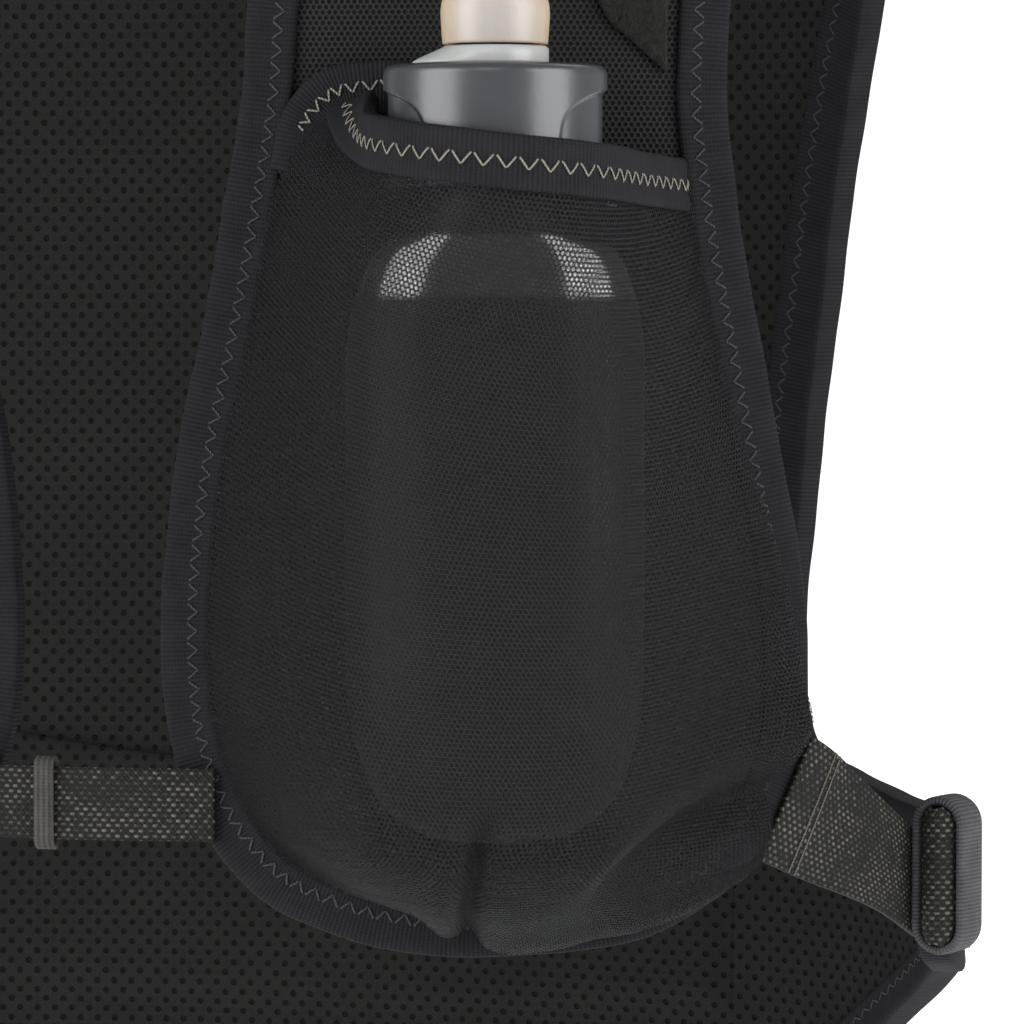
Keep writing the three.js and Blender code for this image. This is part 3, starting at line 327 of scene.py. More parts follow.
class Nodes:
    """Adds nodes to a tree and links them, to keep the finishes short. An input is a number, a
    tuple or another node's output."""

    def __init__(self, tree):
        self.tree = tree

    def add(self, kind, **settings):
        """A node with its settings."""
        node = self.tree.nodes.new(kind)
        for key, value in settings.items():
            setattr(node, key, value)
        return node

    def put(self, value, socket):
        """Set or link one input."""
        if isinstance(value, bpy.types.NodeSocket):
            self.tree.links.new(value, socket)
        elif isinstance(value, tuple) and len(socket.default_value) == 4:
            socket.default_value = (*value, 1)
        else:
            socket.default_value = value

    def chain(self, kind, operation, *inputs):
        """A math node of one kind and its inputs; returns its output."""
        node = self.add(kind, operation=operation)
        for socket, value in zip(node.inputs, inputs):
            self.put(value, socket)
        return node.outputs[0]

    def math(self, operation, *inputs):
        """Plain math."""
        return self.chain("ShaderNodeMath", operation, *inputs)

    def vector(self, operation, *inputs):
        """Vector math."""
        return self.chain("ShaderNodeVectorMath", operation, *inputs)

    def times(self, value, factor):
        """A product."""
        return self.math("MULTIPLY", value, factor)

    def plus(self, one, two):
        """A sum."""
        return self.math("ADD", one, two)

    def clamp(self, value, low=0.0, high=1.0):
        """A value kept between two limits."""
        return self.math("MINIMUM", self.math("MAXIMUM", value, low), high)

    def scale(self, vector, factor):
        """A vector times a number or a value."""
        node = self.add("ShaderNodeVectorMath", operation="SCALE")
        self.put(vector, node.inputs[0])
        self.put(factor, node.inputs["Scale"])
        return node.outputs[0]

    def split(self, vector):
        """The three parts of a vector."""
        node = self.add("ShaderNodeSeparateXYZ")
        self.put(vector, node.inputs[0])
        return node.outputs

    def mix(self, share, low, high):
        """A colour between two."""
        node = self.add("ShaderNodeMix", data_type="RGBA")
        for k, value in ((0, share), (6, low), (7, high)):
            self.put(value, node.inputs[k])
        return node.outputs[2]

    def place(self, group, **values):
        """A node group with named inputs."""
        node = self.add("ShaderNodeGroup", node_tree=group)
        for key, value in values.items():
            self.put(value, node.inputs[key])
        return node.outputs[0]


def new_group(name, inputs, output):
    """A shader node group with named sockets."""
    tree = bpy.data.node_groups.new(name, "ShaderNodeTree")
    tree.interface.new_socket("Place", in_out="INPUT", socket_type="NodeSocketVector")
    for title, kind, value in inputs:
        socket = tree.interface.new_socket(title, in_out="INPUT", socket_type="NodeSocket" + kind)
        socket.default_value = value
    tree.interface.new_socket(output, in_out="OUTPUT", socket_type="NodeSocketFloat")
    n = Nodes(tree)
    return tree, n, n.add("NodeGroupInput").outputs, n.add("NodeGroupOutput").inputs[output]


# %% Staggered dots
def lattice_group():
    """Nearness to the closest dot of two lattices, the second half a pitch off both ways:
    one at a dot's centre, falling to zero at its radius."""
    tree, n, given, put = new_group("staggered dots", [
        ("Pitch", "Vector", (4.0, 5.0, 1.0)), ("Radius", "Float", 0.3), ("Slant", "Float", 1.0)], "Dot")
    scaled = n.vector("DIVIDE", given["Place"], given["Pitch"])
    spots = []
    for shift in (0.0, 0.5):
        wrapped = n.vector("FRACTION", n.vector("ADD", scaled, (shift, shift, 0.0)))
        x, y, _ = n.split(n.vector("SUBTRACT", wrapped, (0.5, 0.5, 0.0)))
        tall = n.times(y, given["Slant"])
        spots.append(n.math("SQRT", n.plus(n.times(x, x), n.times(tall, tall))))
    near = n.math("SUBTRACT", 1.0, n.math("DIVIDE", n.math("MINIMUM", *spots), given["Radius"]))
    n.put(n.math("MAXIMUM", near, 0.0), put)
    return tree


# %% Soft unevenness
def uneven_group():
    """Two noises of different size, added: a value about one half, for shade and height."""
    tree, n, given, put = new_group("unevenness", [("Size", "Float", 8.0)], "Value")
    scaled = n.scale(given["Place"], n.math("DIVIDE", 1.0, given["Size"]))
    parts = []
    for scale, detail, weight in ((1.0, 3.0, 0.7), (7.0, 2.0, 0.3)):
        noise = n.add("ShaderNodeTexNoise", noise_dimensions="3D")
        for value, socket in ((scaled, "Vector"), (scale, "Scale"), (detail, "Detail")):
            n.put(value, noise.inputs[socket])
        parts.append(n.times(noise.outputs[0], weight))
    n.put(n.plus(*parts), put)
    return tree


dots, uneven = lattice_group(), uneven_group()


class Finish(Nodes):
    """A material with one Principled shader, whose inputs are named as arguments; gloss is its
    specular level, and uv the cloth's own map in millimetres."""

    def __init__(self, name, rough, gloss=0.5, **sockets):
        materials[name] = bpy.data.materials.new(name)
        materials[name].use_nodes = True
        super().__init__(materials[name].node_tree)
        self.shader = self.tree.nodes["Principled BSDF"].inputs
        for key, value in dict(sockets, Roughness=rough, Specular_IOR_Level=gloss).items():
            self.put(value, self.shader[key.replace("_", " ")])
        self.uv = self.add("ShaderNodeUVMap", uv_map="cloth").outputs[0]

    def dots(self, wide, tall, radius, slant):
        """Staggered dots, wide by tall millimetres apart."""
        return self.place(dots, Place=self.uv, Pitch=(wide, tall, 1.0), Radius=radius, Slant=slant)

    def cloud(self, size):
        """Soft unevenness of a size in millimetres."""
        return self.place(uneven, Place=self.uv, Size=size)

    def colour(self, share, low, high):
        """The base colour, between two."""
        self.put(self.mix(share, low, high), self.shader["Base Color"])

    def bump(self, height, distance):
        """Height, in metres of distance, into the shader's normal."""
        node = self.add("ShaderNodeBump")
        self.put(distance, node.inputs["Distance"])
        self.put(height, node.inputs["Height"])
        self.put(node.outputs[0], self.shader["Normal"])


# %% [markdown]
# ### Spacer mesh
# Two knitted faces are held apart by fine threads, and the face is full of small holes, a little
# wider than tall, staggered row by row. At arm's length a hole is about one millimetre, so painted
# shade and bump draw it well enough, and cutting eleven thousand real holes would only make it slow.

# %% Spacer mesh finish
def spacer_finish():
    """Holes sink the height and are painted near black as the shade inside them; fine noise is the
    knit between them, painted a little lighter where it stands up, as painted light.
    """
    n = Finish("spacer mesh", 0.8, 0.1)
    hole, knit = n.dots(4.27, 4.7, 0.20, 1.15), n.dots(0.8, 0.9, 0.6, 1.0)
    pit_and_painted_shade = n.math("SMOOTH_MIN", n.times(hole, 2.2), 1.0, 0.2)
    tone = n.mix(n.cloud(26.0), (0.0036, 0.0036, 0.0035), (0.0085, 0.0085, 0.0081))
    # Painted shade: the holes are coloured near black, and the knit's raised dots are coloured a little
    # lighter as painted light.
    n.colour(pit_and_painted_shade, n.mix(n.times(knit, 0.3), tone, (0.014, 0.014, 0.0134)), grey(0.001))
    n.bump(n.plus(n.times(pit_and_painted_shade, -1.0), n.times(knit, 0.22)), 0.0007)


spacer_finish()


# %% [markdown]
# ### Chest mesh and power mesh
# The chest panel is a fine, dense stretch mesh. The pocket is power mesh, a net so open that the
# flask's bright spots show through it. Its alpha follows the net: threads are solid, the tiny
# holes between them let the light through.

# %% Fine mesh finishes
def chest_finish():
    """Small dense dots for the knit, under a soft sheen; the holes are painted near black, as painted
    shade behind the net.
    """
    n = Finish("chest mesh", 0.75, 0.1)
    hole = n.dots(1.3, 2.2, 0.48, 1.7)
    tone = n.mix(n.cloud(40.0), (0.010, 0.010, 0.0105), (0.019, 0.019, 0.020))
    # Painted shade: the holes are coloured near black, as shade behind the net would make them.
    n.colour(n.math("MINIMUM", n.times(hole, 2.2), 1.0), tone, grey(0.0008))
    n.bump(n.times(hole, -1.0), 0.0003)


def power_finish():
    """Alpha is one on the threads and near zero in the holes of a hexagonal net."""
    n = Finish("power mesh", 0.65, 0.10)
    hole = n.dots(1.12, 1.94, 0.5, 1.73)
    n.colour(n.cloud(30.0), (0.0062, 0.0062, 0.0068), (0.0110, 0.0110, 0.0119))
    open_share = n.times(n.math("SMOOTH_MIN", n.times(hole, 3.0), 1.0, 0.2), 0.88)
    n.put(n.math("SUBTRACT", 1.0, open_share), n.shader["Alpha"])
    n.bump(n.times(hole, -1.0), 0.0003)


chest_finish()
power_finish()


# %% [markdown]
# ### Tape, thread and webbing
# The edges are bound with knitted elastic tape, folded in half. Its ribs run across it, so its
# edge looks like a row of fine teeth. Webbing is woven from black yarn with pale flecks.

# %% Tape, thread, webbing
def tape_finish(name, low, high, pitch, rib_way=0):
    """Ribs are a sine along the tape, or across it for a lengthwise rib; a finer wave the other
    way is the knit of each rib. The colour follows the same waves, painted shade in the grooves
    and painted light on the crests, over a soft unevenness of tone."""
    n = Finish(name, 0.8, 0.1)
    place, cloud = n.split(n.uv), n.cloud(6.0)
    rib = n.math("SINE", n.times(place[rib_way], 2 * math.pi / pitch))
    knit = n.math("SINE", n.times(place[1 - rib_way], 2 * math.pi / 0.7))
    wave = n.plus(n.times(rib, 0.22), n.times(knit, 0.07))
    # Painted shade and light: the colour darkens in the rib grooves and lightens on their crests.
    n.colour(n.clamp(n.plus(wave, cloud)), low, high)
    n.bump(n.plus(wave, n.times(cloud, 0.5)), 0.0003)


def thread_finish(name, colour):
    """Twisted yarn: slanting lines along the thread, painted darker in the grooves between the plies,
    as painted shade.
    """
    n = Finish(name, 0.6, 0.2)
    place = n.split(n.uv)
    ply = n.math("SINE", n.times(n.plus(place[0], place[1]), 9.0))
    # Painted shade: the colour darkens in the grooves between the plies.
    n.colour(n.plus(n.times(ply, 0.3), 0.6), tuple(c * 0.55 for c in colour), colour)
    n.bump(ply, 0.0001)


def webbing_finish():
    """Rows of short pale dashes on black. A fine noise drops some of the dashes, and a coarse
    one leaves dark stretches where the pale yarn runs on the back. The weave itself is painted
    lighter on its crowns and darker between them, as painted light and shade."""
    n = Finish("webbing", 0.8, 0.2)
    weave, fleck = n.dots(0.95, 1.1, 0.5, 1.1), n.dots(1.9, 2.2, 0.34, 1.7)
    kept, patch = (n.clamp(n.times(n.math("SUBTRACT", n.cloud(size), 0.40), 7.0), low)
                   for size, low in ((2.2, 0.08), (13.0, 0.25)))
    strong = n.math("MINIMUM", n.times(fleck, 3.0), 1.0)
    # Painted light and shade: the weave is coloured lighter on its raised crowns and darker between them.
    tone = n.mix(weave, grey(0.0015), (0.0080, 0.0080, 0.0075))
    n.colour(n.times(n.times(strong, kept), patch), tone, (0.078, 0.073, 0.062))
    n.bump(n.plus(weave, strong), 0.0003)


tape_finish("tape", (0.0025, 0.0025, 0.0032), (0.0110, 0.0110, 0.0132), 0.95)
tape_finish("knit", (0.018, 0.018, 0.019), (0.062, 0.062, 0.067), 0.8)
tape_finish("flat elastic", grey(0.012), (0.052, 0.050, 0.048), 1.25, 1)
thread_finish("cream thread", (0.20, 0.188, 0.158))
thread_finish("grey thread", grey(0.040))
thread_finish("olive thread", (0.095, 0.090, 0.072))
webbing_finish()


# %% [markdown]
# ### Plastic, silicone and pile
# The cap and flask are soft clear plastics. A little transmission and a gloss coat give them
# depth. The patch near the shoulder is a fuzzy loop pile.

# %% Plastic, silicone, pile
def plastic_finish(name, colour, rough, grain, **sockets):
    """A plain moulded colour with slight cloudiness, and a faint grain in the gloss."""
    n = Finish(name, rough, **sockets)
    place = n.scale(n.add("ShaderNodeTexCoord").outputs["Object"], 1 / MM)
    cloud = n.place(uneven, Place=place, Size=9.0)
    n.colour(cloud, tuple(c * 0.8 for c in colour), colour)
    n.put(n.plus(n.times(cloud, 0.12), rough - 0.06), n.shader["Roughness"])
    n.bump(cloud, grain)


def film_finish(gloss_start=28.5, gloss_end=42.5):
    """The film is glossy where it was blown tightest, over the shoulders 29 to 42 mm below the
    neck, and frosted below, with faint upright drawing marks."""
    n = Finish("flask film", 0.5, 0.2, Coat_Roughness=0.14, Coat_IOR=2.4)
    down, across, _ = n.split(n.uv)
    start = n.times(n.math("SUBTRACT", down, gloss_start), 0.6)
    end = n.times(n.math("SUBTRACT", gloss_end, down), 0.6)
    marks = n.math("SINE", n.times(across, 1.9))
    frost = n.plus(n.times(marks, 0.012), 0.012)
    n.put(n.math("MAXIMUM", n.clamp(n.math("MINIMUM", start, end)), frost), n.shader["Coat Weight"])
    cloud = n.cloud(9.0)
    n.colour(cloud, (0.006, 0.007, 0.006), (0.013, 0.014, 0.013))
    n.bump(n.plus(n.times(marks, 0.1), cloud), 0.0001)


def silicone_finish():
    """Clear silicone looks pale where it is seen face on, and warm along its edges, where the
    eye looks through more of it."""
    n = Finish("bite valve", 0.38, Subsurface_Weight=0.3, Subsurface_Scale=0.003)
    rim = n.add("ShaderNodeLayerWeight")
    n.put(0.35, rim.inputs["Blend"])
    cloud = n.cloud(5.0)
    pale = n.mix(cloud, (0.225, 0.205, 0.190), (0.262, 0.238, 0.218))
    n.colour(rim.outputs["Facing"], pale, (0.330, 0.235, 0.135))
    n.bump(cloud, 0.0001)


def pile_finish():
    """Short loops in all directions: strong fine noise in height, and the same noise in colour as
    painted shade where the pile lies low and painted light where it stands high.
    """
    n = Finish("pile", 0.95, 0.1, Sheen_Weight=0.03)
    fuzz = n.cloud(1.6)
    # Painted shade and light: the pile is coloured darker where it lies low and lighter where it stands high.
    n.colour(fuzz, grey(0.001), (0.020, 0.0195, 0.018))
    n.bump(fuzz, 0.002)


plastic_finish("cap plastic", (0.026, 0.028, 0.034), 0.30, 0.00008, Transmission_Weight=0.1)
plastic_finish("valve seat", (0.30, 0.30, 0.295), 0.35, 0.0001, Subsurface_Weight=0.1)
plastic_finish("clasp", (0.02, 0.02, 0.022), 0.4, 0.0002)
film_finish()
silicone_finish()
pile_finish()
print("finishes:", len(materials))

# %% [markdown]
# ## Chest panels
# The panel's outline was measured as a table of shares of the cloth's length and of half the
# girth. A smooth curve is put through it, and the panel is a grid blended between its four edges.

# %% Chest panel
CHEST_MESH, POWER_MESH, TAPE, EASE, GAP = 1.6, 1.0, 1.0, 0.5, 0.3
TUCK = TAPE + EASE
CHEST_LIFT = 2.0
CHEST_MID = CHEST_LIFT + CHEST_MESH / 2
CHEST_FACE = CHEST_LIFT + CHEST_MESH
CHEST_TAPE, ARM_TAPE, WING_TAPE, MOUTH_TAPE, LIP_TAPE = 10.5, 14.0, 9.0, 11.0, 11.5
# How far a line of stitches stands off a cloth's face: on the tape, and on the pocket's two tapes
SEWN, SEWN_HIGH = EASE + 1.02, EASE + 1.12
CHEST_EDGES = np.array([
    # down, inner, outer
    [0.0005, 0.2904, 0.5527], [0.0638, 0.2834, 0.5597], [0.1277, 0.2670, 0.5714],
    [0.1915, 0.2482, 0.5855], [0.2554, 0.2295, 0.5995], [0.3192, 0.2108, 0.6112],
    [0.3830, 0.1920, 0.6197], [0.4392, 0.1733, 0.6230], [0.4959, 0.1564, 0.6215],
    [0.5485, 0.1490, 0.6180], [0.6011, 0.1340, 0.6290], [0.6698, 0.1115, 0.6530],
    [0.7280, 0.0898, 0.6755], [0.7814, 0.0768, 0.6980], [0.8396, 0.0726, 0.7110],
    [0.8871, 0.0815, 0.7080], [0.9193, 0.1010, 0.6880], [0.9451, 0.1280, 0.6580]])
CHEST_HEM = np.array([
    # across, down
    [0.1710, 0.9704], [0.2379, 0.9880], [0.3059, 0.9970], [0.3831, 1.0000],
    [0.4600, 0.9975], [0.5363, 0.9905], [0.6040, 0.9730]])
FOLDS = (
    # across, width, height in cloth thicknesses
    (0.245, 0.020, 1.4), (0.30, 0.026, 2.0), (0.37, 0.022, -1.2), (0.45, 0.026, 2.2))
inner_side, outer_side = CHEST_EDGES[:, [1, 0]] * FRONT, CHEST_EDGES[:, [2, 0]] * FRONT
chest_outline = smooth(np.concatenate([inner_side, CHEST_HEM * FRONT, outer_side[::-1]]), 1600)


def fold_lift(s, t):
    """Soft upright folds in the upper panel: bells across, faded in and out down the cloth."""
    share = np.abs(t) / FRONT_DROP
    window = ease((share - 0.22) * 8) * ease((0.50 - share) * 12)
    return window * CHEST_MESH * sum(high * np.exp(-(((s / GIRTH - at) / wide) ** 2))
                                     for at, wide, high in FOLDS)


def coons(left, right, top, low):
    """A grid between four edges: the two blends between facing edges, less the corners'."""
    v, u = (share[..., None] for share in shares(len(left), len(top)))
    sides = left[:, None] * (1 - u) + right[:, None] * u
    ends = top[None] * (1 - v) + low[None] * v
    return sides + ends - (top[0] * (1 - u) + top[-1] * u) * (1 - v) - (low[0] * (1 - u) + low[-1] * u) * v


def corners_of(path):
    """Where a path passes nearest to the chest panel's two lower corners."""
    return [np.argmin(np.hypot(*(path - spot).T)) for spot in (inner_side[-1], outer_side[-1])]


def chest_grid(rows=150, columns=64):
    """Split the tucked outline at its two lower corners and blend between the four edges."""
    edge = inside(chest_outline, TUCK + GAP)
    one, two = corners_of(edge)
    left, hem, right = edge[:one + 1], edge[one:two + 1], edge[two:][::-1]
    top = np.linspace(left[0], right[0], columns)
    return coons(even(left, rows), even(right, rows), top, even(hem, columns))


chest_places = chest_grid()
chest_points = lay(chest_places, CHEST_MID + fold_lift(*np.moveaxis(chest_places, -1, 0)))
print("chest panel grid:", chest_places.shape[:2])
chest_panels = pair(cloth, "chest_cloth", (chest_points, chest_places, CHEST_MESH, "chest mesh"),
                    "chest_mesh", "front_panel")

# %% [markdown]
# ## Folded edge tape
# A tape is a U wrapped round the cloth's edge. Its section is drawn once, with two soft ridges
# and a pressed inner edge, and carried along the outline. Sewing machines hold it with a zigzag,
# which is made as real thread, because the pale stitches are the brightest lines on the vest.

# %% Tape and stitches
TAPE_SECTION = np.array([
    # share of the width from the fold, share of the tape's height
    [1.00, 0.30], [0.985, 0.72], [0.93, 0.98], [0.84, 1.06], [0.74, 0.90], [0.60, 0.84],
    [0.45, 0.90], [0.30, 1.04], [0.17, 1.10], [0.07, 0.98], [0.015, 0.66], [0.0, 0.25]])


def tape_band(name, place, run, width, half, side=1):
    """Outer leg, round fold and inner leg of a tape. place(inset, lift) gives points along the
    edge for an inset from the fold and a lift from the cloth's middle."""
    inset, lift = TAPE_SECTION[:, 0], half + EASE + TAPE_SECTION[:, 1] * TAPE
    lining = half + EASE * 0.8
    insets = [*inset, *inset[::-1], 0.999, 0.5, 0.15, 0.15, 0.5, 1.0]
    lifts = [*lift, *-lift[::-1], *[-lining] * 3, *[lining] * 3]
    phase = np.random.default_rng(len(name)).uniform(0, 6.28, 3)
    wave = 0.12 * (np.sin(run / 7.3 + phase[0]) + 0.6 * np.sin(run / 3.1 + phase[1]))
    points = [place(i * width + wave * (1 - 0.6 * i), l + np.sign(l) * wave * 0.25)
              for i, l in zip(insets, lifts)]
    return band(name, np.stack(points, 1), run, "tape", side)


def zigzag(name, place, run, middle, reach, lift, material, side=1, trim=0.0, radius=0.24, pitch=4.2):
    """Stitches along a tape: inset is a triangle wave, and the lift dips where the needle went in."""
    keep = (run >= trim) & (run <= run[-1] - trim)
    phase = run / pitch
    wave = 2 * np.abs(2 * (phase - np.floor(phase + 0.5))) - 1
    height = lift - 0.30 * np.abs(wave) ** 8 - 0.75 * np.maximum(-wave, 0) ** 3
    inset = middle + reach * wave
    points = place(inset, height)
    out = points - place(inset, height - 1)
    return thread(name, points[keep], out[keep], radius, material, side)


def over_body(path, height):
    """The place function of a tape whose fold is a path over the body."""
    return lambda inset, lift: off_body(*inside(path, inset).T, height + lift)


def tape_run(path, height, step):
    """A path sampled every step millimetres, with its length so far."""
    fine = even(path, int(path_length(off_body(*path.T, height))[-1] / step))
    return fine, path_length(off_body(*fine.T, height))


def taped_edge(names, node, outline, mid, half, width, steps, stitch):
    """Tape and stitches along an outline, for both halves. names are the two pieces', steps
    the sample lengths of both, and stitch what zigzag needs."""
    (tape_path, tape_length), (sewn_path, sewn_length) = (tape_run(outline, mid, step) for step in steps)
    pair(tape_band, names[0], (over_body(tape_path, mid), tape_length, width, half), "tape", node)
    pair(zigzag, names[1], (over_body(sewn_path, mid), sewn_length), "tape", None, **stitch)
    return tape_length


chest_run = taped_edge(
    ("chest_tape", "chest_stitches"), "panel_binding", chest_outline, CHEST_MID, CHEST_MESH / 2, CHEST_TAPE,
    (1.3, 0.33), dict(middle=6.6, reach=1.3, lift=CHEST_MESH / 2 + SEWN, material="grey thread", trim=4))
print("chest tape: %.0f mm" % chest_run[-1])

# %% [markdown]
# ## The pocket
# The flask pulls the pocket taut: seen from above, a row of the pocket leaves the panel in a
# straight line, wraps an oval as big as the flask, and goes straight back. Each row also sags.
# A table gives the ovals from the mouth down, and smooth curves through it give all other rows.

# %% Pocket surface
FLASK_WIDTH, FLASK_DEPTH, FLASK_LENGTH, STAND_OFF = 60.0, 34.0, 154.0, 30.6
CAP_TOP, CAP_WALL = -150.6, 2.4
WALL_ROOM = (2 * TUCK + POWER_MESH) / 2
BACK_WALL_MID = CHEST_FACE + GAP + WALL_ROOM
POUCH_FOOT = CHEST_FACE + GAP + POWER_MESH / 2
LIP_FOOT = BACK_WALL_MID + WALL_ROOM + POWER_MESH / 2 + 4 * GAP
MIDDLE = 0.3977
POUCH = np.array([
    # left, right, dip, wide, deep, shift, full
    [0.5434, 0.5802, -2.5, 0.843, 1.488, 0, 0.03], [0.5508, 0.5981, -10, 0.843, 1.488, 0, 0.05],
    [0.5659, 0.6287, -14, 0.935, 1.38, 0, 0.08], [0.6021, 0.6645, -15, 1.05, 1.21, 0, 0.12],
    [0.6520, 0.7053, -14, 1.075, 1.12, 0, 0.16], [0.7053, 0.7462, -12, 1.08, 1.10, 0, 0.20],
    [0.7564, 0.7845, -10, 1.08, 1.09, 0, 0.24], [0.8049, 0.8228, -10, 1.08, 1.09, 0, 0.28],
    [0.8509, 0.8585, -10, 1.06, 1.07, 0, 0.30], [0.8892, 0.8892, -11, 0.97, 0.94, 0, 0.30],
    [0.9172, 0.9121, -14, 0.90, 0.62, 0, 0.30], [0.9326, 0.9249, -17, 0.80, 0.48, 0.32, 0.30]])
POUCH_KNOTS = np.array([0, .35, .8, 1.6, 2.6, 3.6, 4.6, 5.6, 6.5, 7.3, 8.0, 8.5, 9.0])
LIP = np.array([[0.2829, 0.5475], [0.2515, 0.5560], [0.2190, 0.5690]]) * FRONT
middle_place = np.array([MIDDLE * GIRTH, -down_to(CAP_TOP - 9)])
axis_spot = off_body(*middle_place, STAND_OFF)
facing = body_frame(*middle_place)[2] * LEVEL
facing /= length(facing)
lateral = np.array([-facing[1], facing[0], 0])


def on_axis(wide, ahead, z):
    """A point beside and in front of the flask's upright axis."""
    wide, ahead, z = (v[..., None] for v in arrays(wide, ahead, z))
    return axis_spot * LEVEL + wide * lateral + ahead * facing + z * UP


sewn = inside(chest_outline, CHEST_TAPE - 1.2)
corner_in, corner_out = corners_of(chest_outline)
sewn_inner, sewn_outer = sewn[:corner_in + 1], sewn[corner_out:][::-1]
sewn_hem = sewn[corner_in:corner_out + 1]


def place_at(path, share):
    """Where a path down the chest reaches a share of the front drop."""
    return np.array([np.interp(share * FRONT_DROP, -path[:, 1], path[:, 0]), -share * FRONT_DROP])


def pouch_row(row, lip, columns):
    """One row: the taut line from its left foot, round the oval, to its right foot, mixed with
    a half oval of the same reach, and lowered by its dip."""
    left, right, dip, wide, deep, shift, full = row
    if lip is None:
        lip = place_at(sewn_inner, left)
        low = ease((left - LIP[-1, 1] / -FRONT_DROP) / 0.02)
    else:
        low = 0.0
    start = off_body(*lip, POUCH_FOOT + (1 - low) * (LIP_FOOT - POUCH_FOOT))
    end = off_body(*place_at(sewn_outer, right), POUCH_FOOT)
    half = np.array([wide * FLASK_WIDTH / 2, deep * FLASK_DEPTH / 2])
    back = shift * FLASK_DEPTH
    angles = []
    for point, sign in ((start, -1), (end, 1)):
        x, y = (point - axis_spot) @ lateral / half[0], ((point - axis_spot) @ facing + back) / half[1]
        angles.append(math.atan2(y, x) + sign * math.acos(min(1 / math.hypot(x, y), 1)))
    first = angles[0] + (2 * math.pi if angles[0] < angles[1] else 0)
    turn = np.linspace(first, angles[1], 48)
    oval_part = on_axis(half[0] * np.cos(turn), half[1] * np.sin(turn) - back, 0)
    line = even(np.concatenate([[start * LEVEL], oval_part, [end * LEVEL]]), columns)
    share = np.linspace(0, 1, columns)[:, None]
    swing = np.sin(np.pi * share)
    centre, span = (start + end) / 2 * LEVEL, (end - start) / 2 * LEVEL
    reach = half[1] - back - (centre - axis_spot) @ facing
    round_line = centre - span * np.cos(np.pi * share) + facing * reach * swing
    points = line + (round_line - line) * full * swing
    points[:, 2:] = start[2] + (end[2] - start[2]) * share + dip * swing
    return points


def pouch_grid(rows=130, columns=150):
    """Rows from the table, each put through the tautness above, then smooth curves down them,
    and the last row on the sewn hem."""
    lips = [*LIP, *[None] * (len(POUCH) - len(LIP))]
    table = [pouch_row(row, lip, columns) for row, lip in zip(POUCH, lips)]
    return cubics(np.stack([*table, off_body(*even(sewn_hem, columns).T, POUCH_FOOT)]), POUCH_KNOTS, rows)


# %% [markdown]
# The pocket is a little too big for the flask. It hangs over its seam low on the outer side, and
# a pleat and a few soft creases take up the cloth at the foot.

# %% Hang and creases
CREASES = (
    # line of places (mm beside the flask's axis, mm up), width, depth
    (((-6.4, -328.0), (-4.5, -316.0), (-3.0, -306.0), (1.0, -294.0)), 2.2, 4.0),
    (((-12.0, -326.0), (-10.0, -312.0), (-6.0, -298.0)), 3.0, -1.8),
    (((64.0, -288.0), (50.0, -297.0), (38.0, -305.0), (25.0, -315.0), (12.0, -326.0)), 3.0, 6.5),
    (((60.0, -279.0), (48.0, -288.0), (36.0, -296.0), (24.0, -305.0)), 4.0, -2.2),
    (((56.0, -306.0), (44.0, -314.0), (30.0, -323.0)), 3.6, -2.0),
    (((-52.0, -262.0), (-44.0, -276.0), (-30.0, -286.0)), 5.0, 0.9))


def creases(spot):
    """Grooves along broken lines: a bell of the distance to the line, fading at its ends. A
    depth below zero is a ridge."""
    total = np.zeros(spot.shape[:-1])
    for line, wide, deep in CREASES:
        line = np.array(line)
        near, share = np.full(spot.shape[:-1], 1e9), np.zeros(spot.shape[:-1])
        for k, (a, b) in enumerate(zip(line[:-1], line[1:])):
            x = np.clip((spot - a) @ (b - a) / ((b - a) @ (b - a)), 0, 1)
            far = np.linalg.norm(spot - a - x[..., None] * (b - a), axis=-1)
            share = np.where(far < near, (k + x) / (len(line) - 1), share)
            near = np.minimum(near, far)
        fade = ease(share * 4 + 0.3) * ease((1 - share) * 2.2)
        total = total + deep * fade * np.exp(-((near / wide) ** 2))
    return total


def swell(far, wide):
    """A quick rise and slow fall with the distance from a seam, one at its top."""
    return far / wide * np.exp(1 - far / wide)


def ripple(u, v):
    """Small soft wrinkles: a few slanted waves, strongest near the sewn sides."""
    edge = np.exp(-(u / 0.10) ** 2) + np.exp(-((1 - u) / 0.10) ** 2)
    wave = np.sin(2 * np.pi * (v * 17 + u * 5) + 2 * np.sin(9 * v))
    slow = np.sin(2 * np.pi * (v * 3.1 - u * 1.3)) * np.sin(2 * np.pi * (u * 2.2 + 0.3))
    return 0.35 * edge * wave * ease(v * 8) * ease((1 - v) * 8) + 0.25 * slow * ease(v * 6)


def outward(grid):
    """Normals of the pocket, turned to the side that the flask's front faces."""
    n = normals_of(grid)
    return n if n[20, 75] @ facing > 0 else -n


def hung(grid):
    """The taut pocket with its hang over the outer and lower seams, and its creases."""
    v, u = shares(*grid.shape[:2])
    from_side, from_foot = (np.flip(path_length(np.flip(g, 0)), 0) for g in (grid.swapaxes(0, 1), grid))
    from_side = from_side.T
    low_share, outer_share = ease((-190 - grid[..., 2]) / 105), ease((u - 0.30) / 0.25)
    hang = (swell(from_side, 6.5) * low_share * 7.1)[..., None] * lateral
    hang = hang - (swell(from_foot, 6.0) * outer_share * 5.0)[..., None] * UP
    seam = np.maximum(swell(from_side, 4.0) * low_share, swell(from_foot, 4.0) * outer_share)
    beside = np.stack([(grid - axis_spot) @ lateral, grid[..., 2]], -1)
    inwards = creases(beside) - ripple(u, v) * np.sin(np.pi * u) ** 0.5 - 3.5 * seam
    return grid + hang - outward(grid) * inwards[..., None]


